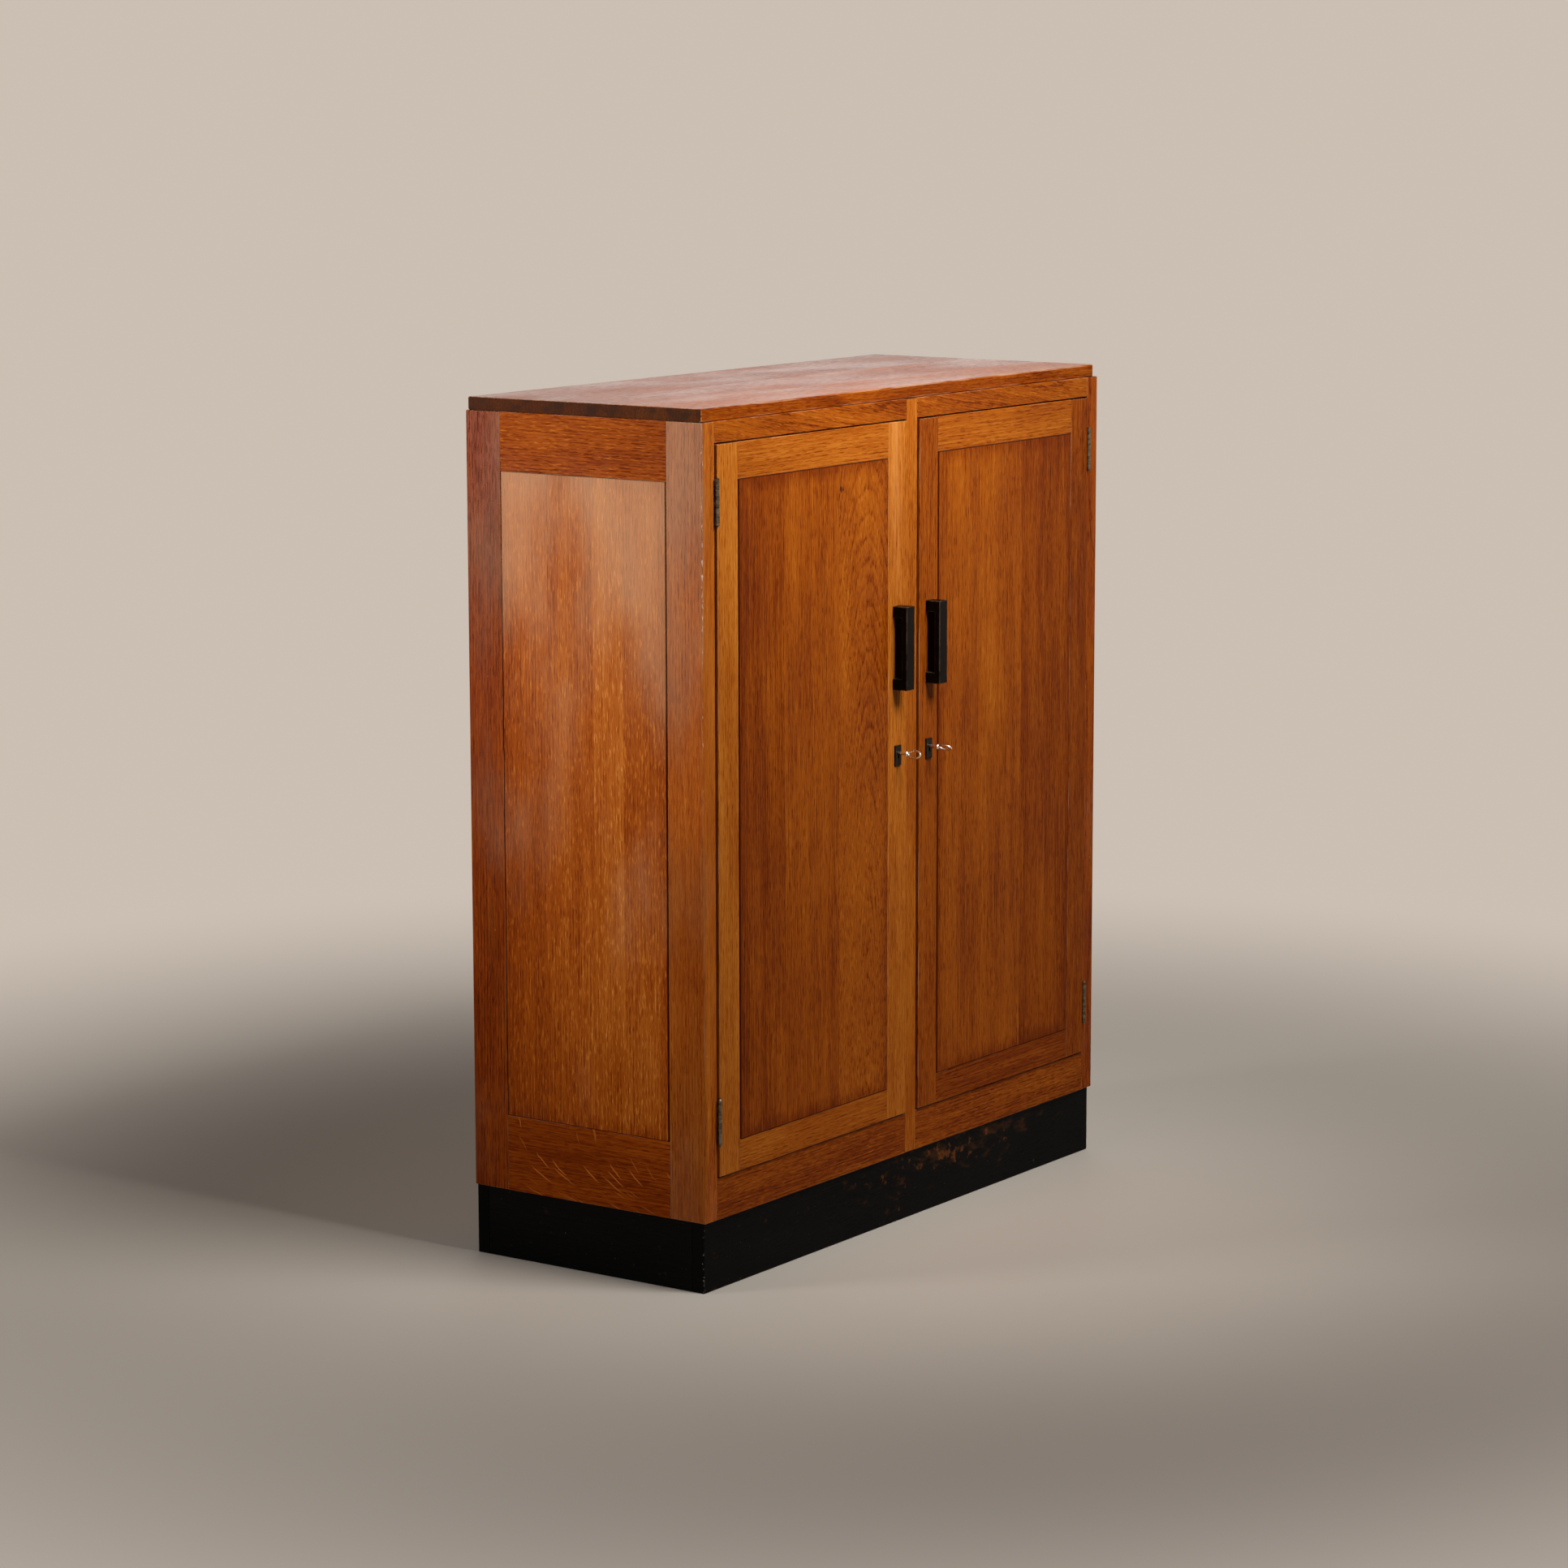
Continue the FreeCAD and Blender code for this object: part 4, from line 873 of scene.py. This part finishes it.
# The locks are mortised into the door stiles: a steel case, an edge plate and a sliding bolt.
# Slotted screws hold the edge plates and the strike plates in the mullion.
lock_steel = metal("lock_steel", light=(0.5, 0.48, 0.44), dark=(0.2, 0.18, 0.15),
                   roughness=(0.32, 0.5), brushed=(0.02, 0.0006, 0.02))
frame["nodes"]["strike_plates"].data.materials[0] = lock_steel
strike_middle = (plates_low.y + plates_high.y) / 2
lock_screw_radius = 0.0021
edge_screw_inset = 0.0045
strike_screw_inset = 0.005
plate_screws = bmesh.new()
for side, outward in (("left", 1), ("right", -1)):
    for node in ("lock_case", "lock_bolt"):
        frame["nodes"][f"{side}_{node}"].data.materials[0] = lock_steel
    case_low, case_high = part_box(f"{side}_lock_case")
    edge = case_high.x if side == "left" else case_low.x
    sunk = head_thick - head_proud
    mesh = bmesh.new()
    for z in (case_low.z + edge_screw_inset, case_high.z - edge_screw_inset):
        add_screw(mesh, Vector((edge - outward * sunk, (case_low.y + case_high.y) / 2, z)),
                  Vector((outward, 0, 0)), lock_screw_radius, head_thick, chance.uniform(0, math.pi))
    fit(f"{side}_edge_plate_screws", mesh, lock_steel, f"{side}_door", "lock_steel")
    face = plates_low.x if side == "left" else plates_high.x
    for z in (plates_low.z + strike_screw_inset, plates_high.z - strike_screw_inset):
        add_screw(plate_screws, Vector((face + outward * sunk, strike_middle, z)), Vector((-outward, 0, 0)),
                  lock_screw_radius, head_thick, chance.uniform(0, math.pi))
fit("strike_plate_screws", plate_screws, lock_steel, "carcass", "lock_steel")

# A nickel-plated key stands in each lock: a turned shank with a collar, an oval ring bow and a bit.
# The left one stands nearly upright and the right one is turned flatter.
nickel = metal("nickel", light=(0.95, 0.93, 0.9), dark=(0.72, 0.69, 0.64),
               roughness=(0.2, 0.3), brushed=(0.002, 0.002, 0.002))
shank_radius = 0.0025
shank_reach = 0.015
collar_radius = 0.0036
collar_thick = 0.0025
bow_wire = 0.0013
bow_half_length = 0.01125 - bow_wire
bow_half_width = 0.007 - bow_wire
bow_end_round = 0.0034
bit_size = Vector((0.002, 0.005, 0.0075))
bit_start = 0.016


def add_oval_ring(mesh, middle):
    """Bends a round wire into an oval of four arcs in the plane of the shank."""
    reach = bow_half_length - bow_end_round
    side_round = (reach ** 2 + bow_half_width ** 2 - bow_end_round ** 2) / (
        2 * (bow_half_width - bow_end_round))
    end_turn = 2 * math.atan2(side_round - bow_half_width, reach)
    drop = side_round - bow_half_width
    start = Matrix.Rotation(end_turn / 2, 4, "X") @ Matrix.Translation((0, bow_end_round, 0))
    section = bmesh.ops.create_circle(
        mesh, segments=12, radius=bow_wire,
        matrix=Matrix.Translation(middle + Vector((0, reach, 0))) @ start)["verts"]
    rim = list({edge for vert in section for edge in vert.link_edges})
    last = section + rim
    for centre, angle, steps in (((0, -drop), math.pi - end_turn, 10), ((-reach, 0), end_turn, 12),
                                 ((0, drop), math.pi - end_turn, 10), ((reach, 0), end_turn, 12)):
        last = bmesh.ops.spin(mesh, geom=last, cent=middle + Vector((0, *centre)), axis=(1, 0, 0),
                              angle=angle, steps=steps, use_merge=False)["geom_last"]
    bmesh.ops.remove_doubles(mesh, verts=mesh.verts[:], dist=2e-5)


for side, lean in (("left", 20), ("right", -48)):
    low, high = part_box(f"{side}_key")
    spot = key_axes[f"{side}_key"].copy()
    spot.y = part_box(f"{side}_escutcheon")[0].y
    inner = high.y - spot.y
    mesh = bmesh.new()
    add_oval_ring(mesh, Vector((0, -(shank_reach + bow_half_length + bow_wire), 0)))
    turned = [(0.0, inner), (shank_radius * 0.8, inner), (shank_radius, inner - 0.0006),
              (shank_radius, -shank_reach + collar_thick + 0.0006),
              (collar_radius * 0.94, -shank_reach + collar_thick + 0.0003),
              (collar_radius, -shank_reach + collar_thick * 0.7),
              (collar_radius, -shank_reach + collar_thick * 0.3),
              (collar_radius * 0.94, -shank_reach),
              (shank_radius, -shank_reach - 0.0004), (shank_radius * 0.8, -shank_reach - bow_wire),
              (0.0, -shank_reach - bow_wire)]
    line = [mesh.verts.new((radius, y, 0)) for radius, y in turned]
    runs = [mesh.edges.new(pair) for pair in zip(line, line[1:])]
    bmesh.ops.spin(mesh, geom=line + runs, cent=(0, 0, 0), axis=(0, 1, 0), angle=2 * math.pi, steps=28,
                   use_merge=True)
    add_box(mesh, Vector((-bit_size.x / 2, bit_start, -bit_size.z)),
            Vector((bit_size.x / 2, bit_start + bit_size.y, 0)))
    bmesh.ops.remove_doubles(mesh, verts=mesh.verts[:], dist=1e-6)
    bmesh.ops.recalc_face_normals(mesh, faces=mesh.faces[:])
    bmesh.ops.transform(mesh, verts=mesh.verts[:],
                        matrix=Matrix.Translation(spot) @ Matrix.Rotation(math.radians(lean), 4, "Y"))
    fit(f"{side}_nickel_key", mesh, nickel, f"{side}_key", "nickel", f"{side}_key")

# The back panels are held in their rebates by round-headed steel nails.
# They stand along the outer edges and the middle.
nail_radius = 0.0022
nail_flatness = 0.25
nail_sunk = 0.0006
nail_inset = 0.006
nail_end = 0.03
nails_in_row = 8
mesh = bmesh.new()
for side in ("left", "right"):
    low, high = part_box(f"{side}_back_panel")
    apart = (high.z - low.z - 2 * nail_end) / (nails_in_row - 1)
    for x in (low.x + nail_inset, high.x - nail_inset):
        for index in range(nails_in_row):
            nail = bmesh.ops.create_uvsphere(mesh, u_segments=10, v_segments=6, radius=nail_radius)
            spot = Matrix.Translation((x, high.y - nail_sunk, low.z + nail_end + index * apart))
            bmesh.ops.transform(mesh, matrix=spot @ Matrix.Diagonal((1, nail_flatness, 1, 1)),
                                verts=nail["verts"])
fit("back_panel_nails", mesh, lock_steel, "carcass", "lock_steel")

# A plain pale floor that fades into a pale background, and four soft lamps round the object.
# The camera stands where the photograph was taken from.
background = (0.6, 0.52, 0.45)
floor_radius = 60.0
fade_from = 0.8
fade_to = 2.6


def seen(tree):
    """One for a ray from the camera, a reflection or glass, nought for light that falls on things."""
    path = add_node(tree, "LightPath", {}).outputs
    return calc(tree, "MAXIMUM", path["Is Camera Ray"],
                calc(tree, "MAXIMUM", path["Is Glossy Ray"], path["Is Transmission Ray"]))


floor_finish, tree, shader = new_finish("pale_floor")
place = on_object(tree)
dust = streaks(tree, place, (0.6, 0.6, 0.6), detail=3.0)
floor_colour = blended(tree, dust, (0.58, 0.54, 0.49), (0.63, 0.585, 0.53))
tree.links.new(floor_colour, shader.inputs["Base Color"])
shader.inputs["Roughness"].default_value = 0.75
glow = add_node(tree, "Emission", {"Color": (*background, 1.0), "Strength": 1.0})
distance = add_node(tree, "VectorMath", {0: place}, operation="LENGTH").outputs["Value"]
far = calc(tree, "MULTIPLY", seen(tree), between(tree, distance, fade_from, fade_to))
floor_mix = add_node(tree, "MixShader", {0: far, 1: shader.outputs[0], 2: glow.outputs[0]})
tree.links.new(floor_mix.outputs[0], tree.nodes["Material Output"].inputs["Surface"])
mesh = bmesh.new()
bmesh.ops.create_circle(mesh, cap_ends=True, segments=64, radius=floor_radius)
floor_data = bpy.data.meshes.new("pale_floor")
mesh.to_mesh(floor_data)
mesh.free()
floor_data.materials.append(floor_finish)
pale_floor = bpy.data.objects.new("pale_floor", floor_data)
bpy.context.scene.collection.objects.link(pale_floor)

world = bpy.data.worlds.new("studio")
bpy.context.scene.world = world
world.use_nodes = True
tree = world.node_tree
soft = add_node(tree, "Background", {"Color": (1.0, 0.97, 0.93, 1.0), "Strength": 0.09})
pale = add_node(tree, "Background", {"Color": (*background, 1.0), "Strength": 1.0})
sky = add_node(tree, "MixShader", {0: seen(tree), 1: soft.outputs[0], 2: pale.outputs[0]})
tree.links.new(sky.outputs[0], tree.nodes["World Output"].inputs["Surface"])


def soft_lamp(name, place, target, size, power, colour, spread):
    """A square soft lamp that points at a place on the object, its spread in degrees."""
    lamp = bpy.data.lights.new(name, "AREA")
    lamp.size = size
    lamp.energy = power
    lamp.color = colour
    lamp.spread = math.radians(spread)
    holder = bpy.data.objects.new(name, lamp)
    aim = (Vector(target) - Vector(place)).to_track_quat("-Z", "Y").to_matrix().to_4x4()
    holder.matrix_world = Matrix.Translation(place) @ aim
    holder.visible_camera = False
    bpy.context.scene.collection.objects.link(holder)


soft_lamp("key_lamp", place=(-0.2, -1.3, 2.35), target=(0.0, -0.15, 1.22), size=0.8, power=16.0,
          colour=(1.0, 0.96, 0.9), spread=92)
soft_lamp("side_lamp", place=(-2.4, 1.5, 1.2), target=(-0.5, 0.0, 1.05), size=0.7, power=6.4,
          colour=(1.0, 0.94, 0.9), spread=52)
soft_lamp("back_lamp", place=(2.5, 1.75, 1.6), target=(0.0, 0.0, 1.2), size=1.6, power=3.0,
          colour=(1.0, 0.95, 0.92), spread=120)
soft_lamp("front_lamp", place=(2.1, -1.6, 1.0), target=(0.0, -0.18, 1.1), size=0.9, power=0.4,
          colour=(1.0, 0.97, 0.93), spread=120)

camera_place = (-5.3543, -3.69935, 1.6809)
heading = math.radians(55.049)
pitch = math.radians(9.299)
roll = math.radians(-0.109)
photo_camera = bpy.data.cameras.new("photo_camera")
photo_camera.lens = 105.339
photo_camera.sensor_width = 36.0
photo_camera.clip_end = 200.0
camera = bpy.data.objects.new("photo_camera", photo_camera)
camera.matrix_world = (Matrix.Translation(camera_place) @ Matrix.Rotation(-heading, 4, "Z")
                       @ Matrix.Rotation(math.pi / 2 - pitch, 4, "X") @ Matrix.Rotation(roll, 4, "Z"))
bpy.context.scene.collection.objects.link(camera)
bpy.context.scene.camera = camera
bpy.context.scene.view_settings.view_transform = "Standard"
